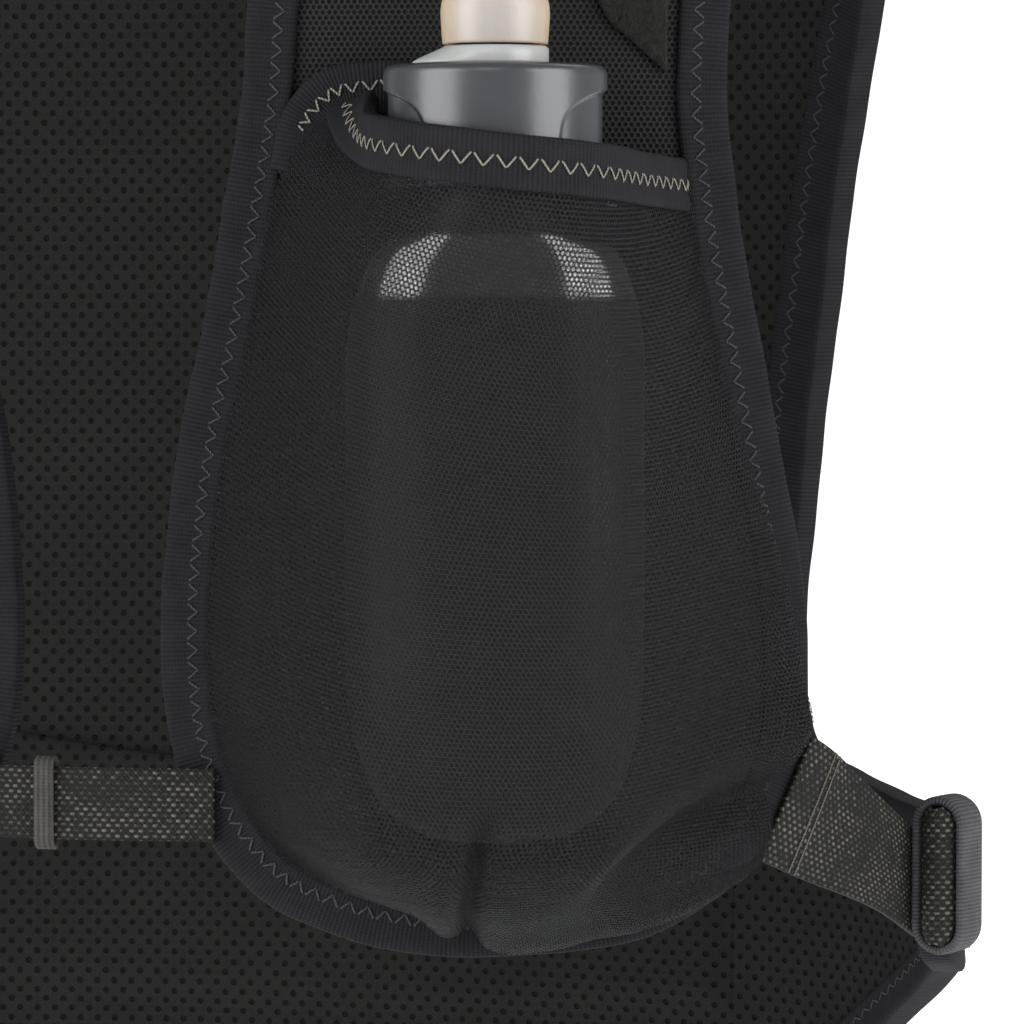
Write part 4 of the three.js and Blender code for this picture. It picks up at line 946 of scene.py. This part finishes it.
pouch = hung(pouch_grid())
pouch_out = outward(pouch)
across_run = path_length(pouch.swapaxes(0, 1)).T
down_run = path_length(pouch[:, pouch.shape[1] // 2])
pouch_map = np.stack(arrays(across_run - across_run[:, -1:] / 2, -down_run[:, None]), -1)
print("pocket: %.0f mm round, %.0f mm down" % (across_run[60, -1], down_run[-1]))
pockets = pair(cloth, "pocket_cloth", (pouch, pouch_map, 0.5, "power mesh"), "power_mesh", "flask_pocket",
               out=pouch_out)


# %% Pocket mouth tape
def mouth_place(count, depth=60):
    """Points over the pocket's upper edge: inset runs down the pocket's columns by length."""
    columns = np.linspace(0, pouch.shape[1] - 1, count)
    low = np.clip(np.floor(columns).astype(int), 0, pouch.shape[1] - 2)
    part = (columns - low)[None, :, None]
    strip, normal = (g[:depth, low] * (1 - part) + g[:depth, low + 1] * part for g in (pouch, pouch_out))
    run = path_length(strip)

    def place(inset, lift):
        """The strip's point at an inset, moved by the lift and sunk at the outer end."""
        inset = np.broadcast_to(inset, count)
        k = np.clip((run <= np.maximum(inset, 0)).sum(0) - 1, 0, depth - 2)
        i = np.arange(count)
        x = ((inset - run[k, i]) / (run[k + 1, i] - run[k, i]))[:, None]
        spot = strip[k, i] * (1 - x) + strip[k + 1, i] * x
        sunk = 3.4 * ease((i / (count - 1) - 0.955) / 0.045)
        return spot + (normal[0] * 0.6 + normal[k, i] * 0.4) * (np.broadcast_to(lift, count) - sunk)[:, None]

    return place, path_length(strip[0])


MOUTH_HALF = POWER_MESH / 2 - GAP
pair(tape_band, "mouth_tape", (*mouth_place(140), MOUTH_TAPE, MOUTH_HALF), "tape", "mouth_binding")
pair(zigzag, "mouth_stitches", (*mouth_place(420), 5.6, 1.45, MOUTH_HALF + SEWN_HIGH, "cream thread"),
     "tape", None, trim=1, radius=0.23)

# %% [markdown]
# ## The pocket's rear wall
# Behind the flask the pocket has a second, hidden wall. Only its taped upper edge shows, as an
# arch behind the cap, with the same pale zigzag.

# %% Rear wall
ARCH = np.array([
    # across, down
    [0.1800, 0.5850], [0.1960, 0.5520], [0.2300, 0.5340], [0.2800, 0.5285], [0.3430, 0.5325],
    [0.3920, 0.5400], [0.4420, 0.5520], [0.4860, 0.5700], [0.5200, 0.5930], [0.5460, 0.6200]]) * FRONT
WALL_LEFT = FRONT * [
    [0.2440, 0.6300], [0.2080, 0.7000], [0.1900, 0.7700], [0.1900, 0.8350], [0.2150, 0.8950]]
WALL_RIGHT = FRONT * [
    [0.5300, 0.6700], [0.5700, 0.7200], [0.5900, 0.7800], [0.5950, 0.8350], [0.5800, 0.8850]]
arch_path = smooth(ARCH[::-1], 300)


def wall_height(s, t):
    """How far the rear wall is pushed out to meet the flask: a bell with soft ends."""
    touch = STAND_OFF - FLASK_DEPTH / 2 - GAP - POWER_MESH / 2
    share = -t / FRONT_DROP
    window = ease((share - 0.645) / 0.055) * ease((0.895 - share) / 0.055)
    lean = (body(s, t) - body(s, middle_place[1])) @ facing
    reach = np.maximum(touch - BACK_WALL_MID - np.maximum(lean, 0), 0)
    return BACK_WALL_MID + reach * window * np.maximum(1 - ((s - middle_place[0]) / 42) ** 2, 0) ** 2


def rear_wall(rows=46, columns=60):
    """A grid blended between the arch, the two sides and the foot."""
    arch = even(inside(arch_path, TUCK)[::-1], columns)
    left, right = (smooth(np.concatenate([end, line]), rows) for end, line in (
        (arch[:1], WALL_LEFT), (arch[-1:], WALL_RIGHT)))
    return coons(left, right, arch, np.linspace(left[-1], right[-1], columns))


wall_places = rear_wall()
wall_points = lay(wall_places, wall_height(*np.moveaxis(wall_places, -1, 0)))
rear_walls = pair(cloth, "pocket_rear_cloth", (wall_points, wall_places, 0.6, "chest mesh"),
                  "power_mesh", "pocket_back")
taped_edge(("rear_tape", "rear_stitches"), "rear_lip", arch_path, BACK_WALL_MID, POWER_MESH / 2,
           LIP_TAPE, (1.0, 0.33), dict(middle=5.0, reach=1.3, lift=POWER_MESH / 2 + SEWN_HIGH,
                                       material="cream thread", trim=9, radius=0.23))

# %% [markdown]
# ## Soft flask, cap and valve
# The flask is blow-moulded film, welded flat at its shoulders. The cap is turned: a profile of
# radius and height, spun round the axis, with an arched finger recess pressed into each side.

# %% Flask
FLASK = np.array([
    # down, wide, deep
    [0.150, 0.483, 0.853], [0.178, 0.560, 0.860], [0.225, 0.830, 0.880], [0.310, 0.970, 0.960],
    [0.480, 1.000, 1.000], [0.710, 1.000, 1.000], [0.860, 0.950, 0.910], [0.945, 0.780, 0.700],
    [0.985, 0.520, 0.400]])
NECK_RADIUS = 14.5


def full_turn(sides):
    """Angles once round, without the last."""
    return np.linspace(0, 2 * np.pi, sides, endpoint=False)


def flask_skin(rows=90, sides=96):
    """Ovals down the axis: half width and half depth from the table, to a closed foot."""
    halves = np.array([FLASK_WIDTH / 2, FLASK_DEPTH / 2])
    table = np.concatenate([[[0, *NECK_RADIUS / halves]], FLASK, [[1.0, 0.03, 0.03]]])
    down, wide, deep = smooth(table * [FLASK_LENGTH, *halves], rows).T[..., None]
    turn = full_turn(sides)
    crumple = 0.25 * np.sin(5 * turn + 0.05 * down) * ease((down - 30) / 20)
    return on_axis((wide + crumple * 0.4) * np.cos(turn), (deep + crumple) * np.sin(turn),
                   CAP_TOP - CAP_WALL - GAP - down)


skin = flask_skin()
pair(band, "flask_film", (skin, np.linspace(0, FLASK_LENGTH, len(skin)), "flask film"), "flask", "flask_body")


# %% Cap, seat and mouthpiece
SEAT_HEIGHT, SEAT_RADIUS = 3.6, 10.8


def spun(profile, sides, foot, dent):
    """Radius and height spun round the flask's axis; dent gives the radius left at each turn."""
    turn = full_turn(sides)[:, None]
    r, z = np.array(profile).T[:, None]
    reach = dent(turn, r, z)
    return on_axis(reach * np.cos(turn), reach * np.sin(turn), foot + z)


def cap_skin():
    """The cap's profile spun round: rounded top rim, skirt, inner wall and a bore for the valve.
    Each finger recess is a step down from the skirt, under an arch that opens 4.8 mm below the
    top and soon reaches its full width."""
    radius, height, inner, bore = 22.5, 24.4, 15.1, 4.4
    arch_top, arch_rise, arch_half, step, edge = 4.8, 2.2, 0.95, 1.0, 0.05
    crown = [(bore, -1.2), (bore, 0.0), (11, 0.0), (17, 0.0), (20.6, -0.05), (21.6, -0.35),
             (22.2, -0.95), (radius, -1.8)]
    skirt = [(radius, -z) for z in np.linspace(2.4, height - 0.5, 60)]
    rest = [(22.2, -height), (inner + 0.3, -height), (inner, -height + 0.4), (inner, -CAP_WALL),
            (bore, -CAP_WALL)]

    def recess(turn, r, z):
        """The skirt inside the two arches lies a step deeper."""
        opening = arch_half * (1 - np.exp(-np.maximum(-z - arch_top, 0) / arch_rise))
        off = np.minimum(np.minimum(turn, 2 * np.pi - turn), np.abs(turn - np.pi))
        return r - step * ease((opening - off) / edge) * (-z > arch_top) * (r > radius - 0.1)

    return spun(crown + skirt + rest, 360, CAP_TOP, recess)


def seat_skin():
    """A short drum with a ramp that runs down to one side."""
    profile = [(4.2, SEAT_HEIGHT), (8.6, SEAT_HEIGHT), (10.2, 3.5), (SEAT_RADIUS, 3.0), (SEAT_RADIUS, 1.2),
               (SEAT_RADIUS, 0.5), (SEAT_RADIUS, 0.0), (4.2, 0.0)]
    return spun(profile, 96, CAP_TOP + GAP, lambda turn, r, z: (
        r + 6.0 * np.maximum(-np.cos(turn), 0) ** 3 * ease((3.4 - z) / 3.4) * (r > 10)))


VALVE = np.array([
    # share of the height, share of the radius
    [0.0, 0.98], [0.10, 1.0], [0.34, 0.97], [0.42, 0.86],
    [0.52, 0.85], [0.66, 0.92], [0.86, 0.86], [1.0, 0.60]])


def valve_skin(radius=10.8, height=27.0):
    """Skirt, waist and rounded mouthpiece of the bite valve, spun round its bore."""
    outside = smooth(VALVE * [height, radius], 60)[:, ::-1]
    profile = [*outside, (4.4, height - 0.1), (4.2, height - 0.8), (4.2, 0.2)]
    return spun(profile, 72, CAP_TOP + 2 * GAP + SEAT_HEIGHT, lambda turn, r, z: r)


for piece, skin, finish, slot, node in (
        ("screw_cap", cap_skin(), "cap plastic", "cap", "flask_cap"),
        ("seat", seat_skin(), "valve seat", "valve_seat", "valve_base"),
        ("mouthpiece", valve_skin(), "bite valve", "bite_valve", "bite_valve")):
    pair(band, piece, (skin, np.linspace(0, 100, len(skin)), finish), slot, node, on="{}_cap", closed=True)
print("cap, seat and mouthpiece made for both flasks")

# %% [markdown]
# ## Loop patch
# High on the chest panel, next to its outer tape, sits a patch of fuzzy loop pile.

# %% Loop patch
PATCH = np.array([
    # down, inner, outer
    [0.425, 0.462, 0.560], [0.455, 0.470, 0.558], [0.486, 0.484, 0.556], [0.506, 0.500, 0.556]])


def patch_points(rows=40, columns=30):
    """A slanted four-sided patch, its pile swollen in the middle and thin at the rim."""
    down, inner, outer = smooth(PATCH, rows).T[..., None]
    v, u = shares(rows, columns)
    s, t = (inner + (outer - inner) * u) * GIRTH, -(down + 0.028 * u) * FRONT_DROP
    full = (np.minimum(np.minimum(u, 1 - u) * 12, 1) * np.minimum(np.minimum(v, 1 - v) * 16, 1)) ** 0.5
    fuzz = np.random.default_rng(7).normal(0, 0.12, (rows, columns))
    return np.stack([s, t], -1), off_body(s, t, CHEST_FACE + 0.9 + (0.3 + fuzz) * full + fold_lift(s, t))


patch_map, patch_grid = patch_points()
pair(cloth, "pile_patch", (patch_grid, patch_map, 1.0, "pile"), "pile", "loop_patch")

# %% [markdown]
# ## Back panel
# One big sheet of spacer mesh: two straps round the neck, the back itself, and a low band whose
# ends are the side wings. The patches share the points where they meet, so that welding makes
# them one cloth, and a Solidify modifier gives it its four millimetres.

# %% Back outline
STRAP = np.array([
    # across, down
    [0.5527, 0.0005], [0.5663, 0.0446], [0.5933, 0.0890], [0.6205, 0.1291], [0.6355, 0.1515]])
ARMHOLE = np.array([
    # across, down
    [0.6420, 0.1603], [0.6540, 0.1855], [0.6660, 0.2185], [0.6776, 0.2672], [0.6796, 0.3296],
    [0.6715, 0.3786], [0.6542, 0.4187], [0.6335, 0.4521], [0.6077, 0.5012], [0.5848, 0.5590],
    [0.5609, 0.6281], [0.5464, 0.6815], [0.5351, 0.7483], [0.5385, 0.7817], [0.5540, 0.8009]])
WING = np.array([
    # across, top, bottom
    [0.6253, 0.8151, 0.9655], [0.7026, 0.8234, 0.9421], [0.7963, 0.8269, 0.9187], [0.8899, 0.8321, 0.9020]])
TIP, TIP_RADIUS = np.array([0.9906, 0.8641]), 15.0
NECK_HALF, NECK_DROP, HEM_RISE = 62.0, 72.0, 7.5
SPACER, LUMBAR = 4.0, 1.5
root = ARMHOLE[-1] * BACK


def hem_down(s):
    """The hem's place down the cloth: lowest in the middle, rising to both sides."""
    return BACK_DROP - HEM_RISE * (s / root[0]) ** 2


tip_turn = np.pi * (np.arange(5) / 4 - 0.5)
tip_points = TIP * BACK + TIP_RADIUS * np.stack([np.cos(tip_turn), np.sin(tip_turn)], -1)
side_points = np.concatenate([
    STRAP * BACK, ARMHOLE * BACK, WING[:, [0, 1]] * BACK, tip_points, WING[::-1][:, [0, 2]] * BACK])
hem_s = np.linspace(root[0], -root[0], 13)
hem_points = np.stack([hem_s, hem_down(hem_s)], -1)
back_outline = smooth(np.concatenate([side_points, hem_points, side_points[::-1] * MIRROR]), 3600)
arm_curve = smooth(side_points, 2400)
root_at = np.argmin(np.hypot(*(arm_curve - root).T))
neck_turn = np.linspace(0, np.pi, 400)
neck_outline = np.stack([-NECK_HALF * np.cos(neck_turn), np.maximum(NECK_DROP * np.sin(neck_turn), 0.2)], -1)


# %% Back cloth
def upper_patches(edge, columns, strap_rows, body_rows):
    """The left strap, between the neck and the armhole, and the back below the neck, whose first
    rows ease from the strap's last one."""
    split = np.argmax(edge[:, 1] >= NECK_DROP + TUCK)
    strap_edge, body_edge = even(edge[:split + 1], strap_rows), even(edge[split:], body_rows)
    angle = np.linspace(0.004, np.pi / 2, strap_rows)
    neck = np.stack([(NECK_HALF + TUCK) * np.cos(angle), (NECK_DROP + TUCK) * np.sin(angle)], -1)
    u = np.linspace(0, 1, columns)[:, None]
    strap = neck[:, None] * (1 - u) + strap_edge[:, None] * u
    back = np.stack(arrays(body_edge[:, :1] * np.linspace(-1, 1, 2 * columns - 1), body_edge[:, 1:]), -1)
    first = np.concatenate([(strap[-1] * MIRROR)[::-1], strap[-1][1:]])
    fade = ease(1 - np.arange(body_rows) / 12)[:, None, None]
    return strap, back + (first - back[:1]) * fade


def lower_patches(edge, last, rows, columns):
    """The band under the back, from the back's last row to the hem, and the left wing, whose
    columns crowd towards its round tip."""
    tip = np.argmax(edge[:, 0])
    top, low = edge[:tip], edge[tip:]
    low = low[np.argsort(low[:, 0])]
    wing_s = root[0] - TUCK + (edge[tip, 0] - root[0] + TUCK) * np.sin(np.linspace(0, np.pi / 2, columns + 1))
    wing_s[0] = last[-1, 0]
    wing_t, wing_b = (np.interp(wing_s, *line.T) for line in (top, low))
    wing_t[0] = last[-1, 1]
    hem = hem_down(last[:, 0]) - TUCK
    wing_b = wing_b + (hem[-1] - wing_b[0]) * ease(1 - (wing_s - wing_s[0]) / 30)
    wing_b[-1] = wing_t[-1]
    v = np.linspace(0, 1, rows)[:, None]
    return [np.stack(arrays(s + 0 * v, start + (end - start) * v), -1)
            for s, start, end in ((last[:, 0], last[:, 1], hem), (wing_s, wing_t, wing_b))]


def back_patches():
    """Straps, back, low band and wings as grids of places."""
    edge = inside(arm_curve, TUCK + GAP)
    strap, back = upper_patches(edge[:root_at + 1], 44, 30, 96)
    middle, wing = lower_patches(edge[root_at:], back[-1], 26, 34)
    return [strap, strap[:, ::-1] * MIRROR, back, middle, wing, wing[:, ::-1] * MIRROR]


def joined(name, grids, height, thick, material):
    """Grids of places put on the body, welded into one sheet and given a thickness."""
    points = np.concatenate([lay(g, height).reshape(-1, 3) for g in grids])
    starts = np.cumsum([0] + [g.shape[0] * g.shape[1] for g in grids])
    faces = np.concatenate([grid_faces(*g.shape[:2]) + start for g, start in zip(grids, starts)])
    uv = np.concatenate([g.reshape(-1, 2) for g in grids])
    made = weld(make_mesh(name, points, faces, uv, material), 5e-5, 1e-5)
    wall = made.modifiers.new("thickness", "SOLIDIFY")
    wall.thickness, wall.offset = thick * MM, 0.0
    return made


back_grids = back_patches()
back_cloth = joined("back_cloth", back_grids, SPACER / 2, SPACER - 0.2, "spacer mesh")
settle(back_cloth, "spacer_mesh", "back_panel")


# %% Back edge tape
def edge_path(step):
    """The outline with its run, and the tape's width: wide round the armhole, narrow round the
    wing and the hem."""
    fine, run = tape_run(back_outline, SPACER / 2, step)
    wide = WING_TAPE + (ARM_TAPE - WING_TAPE) * ease((0.83 * BACK_DROP - fine[:, 1]) / 30 + 0.5)
    return over_body(fine, SPACER / 2), run, wide


edge_place, back_run, edge_width = edge_path(1.3)
sewn_place, sewn_run, sewn_width = edge_path(0.36)
settle(tape_band("back_edge_tape", lambda i, l: edge_place(np.asarray(i) / 10 * edge_width, l), back_run, 10.0,
                 SPACER / 2), "tape", "back_binding")
for word, face in (("outer", 1), ("inner", -1)):
    settle(zigzag(f"back_edge_stitches_{word}", lambda i, l: sewn_place(np.asarray(i) * sewn_width, face * l),
                  sewn_run, 0.66, 0.09, SPACER / 2 + SEWN, "grey thread", trim=3), "tape")
neck_path, neck_run = tape_run(neck_outline, SPACER / 2, 1.2)
settle(tape_band("neck_edge_tape", over_body(neck_path, SPACER / 2), neck_run, WING_TAPE, SPACER / 2),
       "tape", "neck_binding")
print("back edge tape: %.0f mm, neck tape: %.0f mm" % (back_run[-1], neck_run[-1]))


# %% [markdown]
# ## Lumbar panel
# Low on the inside lies a second layer of the same mesh, with a raised, stitched top edge.

# %% Lumbar panel
LUMBAR_TOP, LUMBAR_SIDE, LUMBAR_MARGIN = 0.826, 0.802, 17


def lumbar_sheet(rows=30, columns=90):
    """A strip whose top edge bows and whose foot follows the hem, inside the armholes' tape. It
    dives into the back panel along its two ends and its foot."""
    v, k = shares(rows, columns, -1)
    s = -k * (ARMHOLE[12, 0] * GIRTH - ARM_TAPE - 1)
    top = BACK_DROP * (LUMBAR_TOP + (LUMBAR_SIDE - LUMBAR_TOP) * k ** 2)
    places = np.stack(arrays(s + 0 * v, top + (hem_down(s) - LUMBAR_MARGIN - top) * v), -1)
    dive = np.maximum(ease((np.abs(k) - 0.9) / 0.1), ease((v - 0.85) / 0.15))
    return places, lay(places, -0.6 - LUMBAR / 2 + dive * (0.8 + LUMBAR))


lumbar_map, lumbar_points = lumbar_sheet()
lumbar = cloth("lumbar_cloth", lumbar_points, lumbar_map, LUMBAR, "spacer mesh")
settle(lumbar, "spacer_mesh", "lumbar_panel")

# %% [markdown]
# ## Straps
# The side strap is woven webbing, folded through an elastic ring at the wing's tip and gathered
# beneath it. A thinner strap crosses the chest, with a keeper, and ends in a clasp.

# %% Side strap
WEB, SIDE_WEB, STERNUM_WEB = 1.4, 25.0, 15.0
STRAP_FACE = CHEST_FACE + TUCK + GAP + WEB / 2
STRAP_ENDS = np.array([
    # across, height, slant in webbing widths
    [0.68, -301.5, 0.25], [0.899, -325.0, 0.20]])
STRAP_MAP_LENGTH, TACK_ROWS = 62, (13, 16)


def side_strap_points(rows=90, columns=40):
    """Rows along the strap: across, height and slant go evenly from one end to the other, and
    the lift drops from the chest tape to the wing."""
    v, k = shares(rows, columns, -1)
    across, high, slant = (start + (end - start) * v for start, end in STRAP_ENDS.T)
    pinch = 1 - 0.26 * ease(v * 1.2)
    half = k * SIDE_WEB / 2
    lift = STRAP_FACE + (SPACER - STRAP_FACE) * ease(v * 3) + 0.25 * np.sin(2 * np.pi * v * 1.5) * k
    points = off_body(across * GIRTH + 2 * half * slant * pinch, -down_to(high + half * pinch), lift)
    return points, np.stack(arrays(v * STRAP_MAP_LENGTH, half), -1)


# %% Elastic ring and folded end
RING_HEIGHT, RING_WIDTH, RING_WALL, RING_BAND = 34.0, 12.5, 2.0, 10.0
RING_SECTION = np.array([
    # share of half the band's width, millimetres outwards
    (-1, 0), (-0.96, 0.7), (-0.8, 0.95), (0, 1.0), (0.8, 0.95), (0.96, 0.7),
    (1, 0), (0.96, -0.7), (0.8, -0.9), (0, -0.95), (-0.8, -0.9), (-0.96, -0.7)])
ring_place = np.array([0.885 * GIRTH, -down_to(-320.5)])
ring_centre = off_body(*ring_place, SPACER + WEB / 2 + GAP + RING_WIDTH / 2)
ring_along, _, ring_out = body_frame(*ring_place)
ring_along, ring_out = ring_along / length(ring_along), ring_out * LEVEL / length(ring_out * LEVEL)


def ring_spot(x, along, z):
    """A point of the ring: outwards, along the strap, and up from the ring's centre."""
    x, along, z = (v[..., None] for v in arrays(x, along, z))
    return ring_centre + x * ring_out + along * ring_along + z * UP


def stadium(width, height, steps):
    """Two half rounds joined by straight sides."""
    radius, straight = width / 2, height / 2 - width / 2
    turn, sides = np.linspace(0, np.pi, steps), np.linspace(-1, 1, 8)[1:-1]
    top = np.stack([radius * np.cos(turn), straight + radius * np.sin(turn)], -1)
    left = np.stack([-radius + 0 * sides, -straight * sides], -1)
    return np.concatenate([top, left, -top, -left])


def ring_sections():
    """A knit band with rounded edges, carried round the oblong."""
    path = stadium(RING_WIDTH - RING_WALL, RING_HEIGHT - RING_WALL, 17)
    ahead = np.roll(path, -1, 0) - np.roll(path, 1, 0)
    out = ahead[:, ::-1] * -MIRROR
    along, high = RING_SECTION.T
    spot = path[:, None] + (out / length(out))[:, None] * high[:, None]
    return ring_spot(spot[..., 0], along * RING_BAND / 2, spot[..., 1]), path_length(path)


def tail_points(rows=70, columns=41):
    """Webbing folded double: a straight leg, a half turn and a leg back, inside the ring."""
    room = RING_WIDTH - 2 * RING_WALL - 2 * GAP
    radius, half = room / 2 - WEB / 2, RING_BAND * 0.7
    turn = np.linspace(0, np.pi, 24)
    bend = np.stack([radius * np.cos(turn), -half + room / 2 - radius * np.sin(turn)], -1)
    line = even(np.concatenate([[[radius, half]], bend, [[-radius, half]]]), rows)
    straight, bend_room = RING_HEIGHT / 2 - RING_WIDTH / 2, RING_WIDTH / 2 - RING_WALL - GAP
    z = np.linspace(-1, 1, columns)[None, :] * (straight + 0.92 * bend_room)
    squeeze = np.sqrt(1 - np.clip((np.abs(z) - straight) / bend_room, 0, 1) ** 2)
    places = np.stack(arrays(path_length(line)[:, None], z), -1)
    return ring_spot(line[:, :1] * squeeze, line[:, 1:], z), places


GATHER = np.array([
    # across, top, bottom, lift, thickness of the solid, which only paces the curve here
    [0.925, -311, -334, 3.4, 2.6], [0.950, -314, -338, 2.6, 2.2],
    [0.985, -318, -339, 1.9, 1.6], [1.020, -321, -340, 1.5, 1.2]])


def gather_points(rows=40, columns=46):
    """Elastic drawn together: upright gathers, a wave whose height fades towards the wing."""
    across, top, bottom, lift, _ = smooth(GATHER, rows).T[..., None]
    v, u = shares(rows, columns)
    wave = 0.45 * np.sin(2 * np.pi * 7 * u + 1.2 * np.sin(5 * v)) * (1 - 0.7 * v)
    s, z = arrays(across * GIRTH, top + (bottom - top) * u)
    return off_body(s, -down_to(z), SPACER + GAP + TAPE + lift + wave), np.stack([s, z], -1)


strap_points = side_strap_points()[0]
strap_out = normals_of(strap_points)
strap_out *= np.sign((strap_out * (strap_points - [0, 0, -310])).sum(-1).mean())
for k, row in enumerate(TACK_ROWS):
    line = strap_points[row] + strap_out[row] * (WEB / 2 + 0.15)
    pair(thread, f"strap_tack_{k}", (line, strap_out[row], 0.25, "olive thread"), "webbing", None)
pair(band, "elastic_ring", (*ring_sections(), "knit"), "knit", "side_loop", closed=True)
for piece, sheet, thick, slot, node in (
        ("side_webbing", side_strap_points(), WEB, "webbing", "side_strap"),
        ("folded_webbing", tail_points(), WEB, "webbing", "strap_tail"),
        ("gather", gather_points(), 1.2, "knit", "loop_gather")):
    pair(cloth, piece, (*sheet, thick, slot), slot, node)


# %% Sternum strap
STERNUM_START, STERNUM_END, STERNUM_Z = 0.128, -0.132, -302.4


def sternum_lift(v):
    """The strap's height off the body at a share of its length: it rises into the clasp."""
    return STRAP_FACE + 2.2 * ease(v * 2)


def sternum_points(rows=80, columns=24):
    """Webbing from the left panel's tape to the right panel's."""
    v, k = shares(rows, columns, -1)
    s, half = arrays((STERNUM_START + (STERNUM_END - STERNUM_START) * v) * GIRTH, k * STERNUM_WEB / 2)
    return off_body(s, -down_to(STERNUM_Z + half), sternum_lift(v)), np.stack([s, half], -1)


def sleeve(at, wall, width):
    """A flat band round the strap at a share of half the girth."""
    s, t = at * GIRTH, -down_to(STERNUM_Z)
    across, _, out = body_frame(np.array(s), np.array(t))
    along = across / length(across)
    centre = off_body(s, t, sternum_lift((at - STERNUM_START) / (STERNUM_END - STERNUM_START)))
    inner, outer = (stadium(WEB + room, STERNUM_WEB + WEB + room, 9)
                    for room in (4 * GAP, 4 * GAP + 2 * wall))
    middle = (inner + outer) / 2
    ring = [centre + line[:, :1] * out + share * width / 2 * along + line[:, 1:] * UP for line, share in (
        (outer, -0.85), (outer, 0.85), (middle, 1), (inner, 0.9), (inner, -0.9), (middle, -1))]
    return np.stack(ring, 1), path_length(outer)


settle(cloth("sternum_webbing", *sternum_points(), WEB, "webbing"), "webbing", "sternum_strap")
settle(band("keeper", *sleeve(-0.036, 1.0, 4.5), "flat elastic", closed=True), "knit", "sternum_keeper")
settle(band("clasp", *sleeve(-0.118, 1.3, 12.0), "clasp", closed=True), "clasp", "sternum_clasp")

# %% [markdown]
# ## Floor, light and camera
# The photograph is a close-up on a white ground, from the wearer's front left. The floor is plain
# and flat, and the world is white to the camera and dimmer as a light, so the vest can be seen
# from every side. Two tall soft boxes stand left and right of the camera, because the flask shows
# two upright bright spots.

# %% Stage
FLOOR_LOW, FLOOR_HALF = -520.0, 6000.0
Finish("studio paper", 0.9, Base_Color=grey(0.86), Emission_Color=grey(1.0), Emission_Strength=0.8)
floor_line = np.linspace(-FLOOR_HALF, FLOOR_HALF, 3)
ground = np.stack(arrays(floor_line[:, None], floor_line[None, :], FLOOR_LOW), -1)
make_mesh("studio_paper", ground, grid_faces(3, 3), ground[..., :2], "studio paper")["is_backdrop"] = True

AIM = np.array([96.3, -119.1, -240.0])
AZIMUTH, ELEVATION, DISTANCE = math.radians(15), math.radians(2.5), 1100.0
SENSOR, SEEN_WIDTH = 36.0, 204.8
beside = np.array([math.cos(AZIMUTH), math.sin(AZIMUTH), 0.0])
look = np.array([-math.sin(AZIMUTH) * math.cos(ELEVATION), math.cos(AZIMUTH) * math.cos(ELEVATION),
                 -math.sin(ELEVATION)])


def aimed(name, data, spot):
    """An object for a light or camera, turned to look at the flask."""
    item = bpy.data.objects.new(name, data)
    bpy.context.scene.collection.objects.link(item)
    item.location = Vector(spot * MM)
    item.rotation_euler = Vector((AIM - spot) * MM).to_track_quat("-Z", "Y").to_euler()
    return item


LIGHTS = (
    # name, mm to the right of the flask as the camera sees it, towards the camera, up, width, height, watts
    ("soft_box_left", -1330, 740, 330, 1.2, 1.5, 40), ("soft_box_right", 1330, 740, 330, 1.2, 1.5, 40),
    ("soft_box_front", -300, 1900, 1300, 1.0, 1.0, 8), ("back_light", 200, -1300, 1700, 2.0, 1.0, 20))
for name, right, near, high, wide, tall, watts in LIGHTS:
    light = bpy.data.lights.new(name, "AREA")
    light.shape = "RECTANGLE"
    light.size, light.size_y, light.energy = wide, tall, watts
    aimed(name, light, AIM + right * beside - near * look + high * UP)

world = bpy.data.worlds.new("studio")
world.use_nodes = True
n = Nodes(world.node_tree)
background = world.node_tree.nodes["Background"]
n.put((1.0, 1.0, 1.0), background.inputs["Color"])
level = n.add("ShaderNodeMapRange")
seen = n.add("ShaderNodeLightPath").outputs["Is Camera Ray"]
for value, socket in ((seen, "Value"), (0.45, "To Min"), (1.2, "To Max")):
    n.put(value, level.inputs[socket])
n.put(level.outputs["Result"], background.inputs["Strength"])
bpy.context.scene.world = world
bpy.context.scene.view_settings.view_transform = "Standard"

camera_data = bpy.data.cameras.new("camera")
camera_data.sensor_width, camera_data.lens = SENSOR, SENSOR * DISTANCE / SEEN_WIDTH
camera_data.clip_start, camera_data.clip_end = 0.05, 50
bpy.context.scene.camera = aimed("camera", camera_data, AIM - look * DISTANCE)


# %% Sheets
def area_of(grid):
    """Area of a grid of points in square metres: half the cross product of each quad's diagonals."""
    one, two = grid[1:, 1:] - grid[:-1, :-1], grid[1:, :-1] - grid[:-1, 1:]
    return float(np.linalg.norm(np.cross(one, two), axis=-1).sum() / 2) * MM * MM


def declare(piece, grids, flat, parts=()):
    """State a stretched sheet: its cut's flat width and length in metres and its area. parts, what is
    sewn to it, is not used."""
    area = sum(area_of(grid) for grid in grids)
    print(piece.name, "flat %.3f x %.3f m, area %.4f m2" % (*flat, area))


for word, _ in SIDES:
    for made, points, flat, parts in (
            (chest_panels, chest_points, (0.15, 0.40), ("chest_tape", "chest_stitches", "pile_patch")),
            (pockets, pouch, (0.19, 0.21), ("mouth_tape", "mouth_stitches")),
            (rear_walls, wall_points, (0.12, 0.16), ("rear_tape", "rear_stitches"))):
        declare(made[word], [points], flat, [f"{word}_{part}" for part in parts])
declare(back_cloth, [lay(g, SPACER / 2) for g in back_grids], (0.47, 0.45),
        ("back_edge_tape", "back_edge_stitches_outer", "back_edge_stitches_inner", "neck_edge_tape"))
declare(lumbar, [lumbar_points], (0.22, 0.07))

# %% Finish
low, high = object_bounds()
print("visual box mm:", [round((b - a) / MM) for a, b in zip(low, high)])
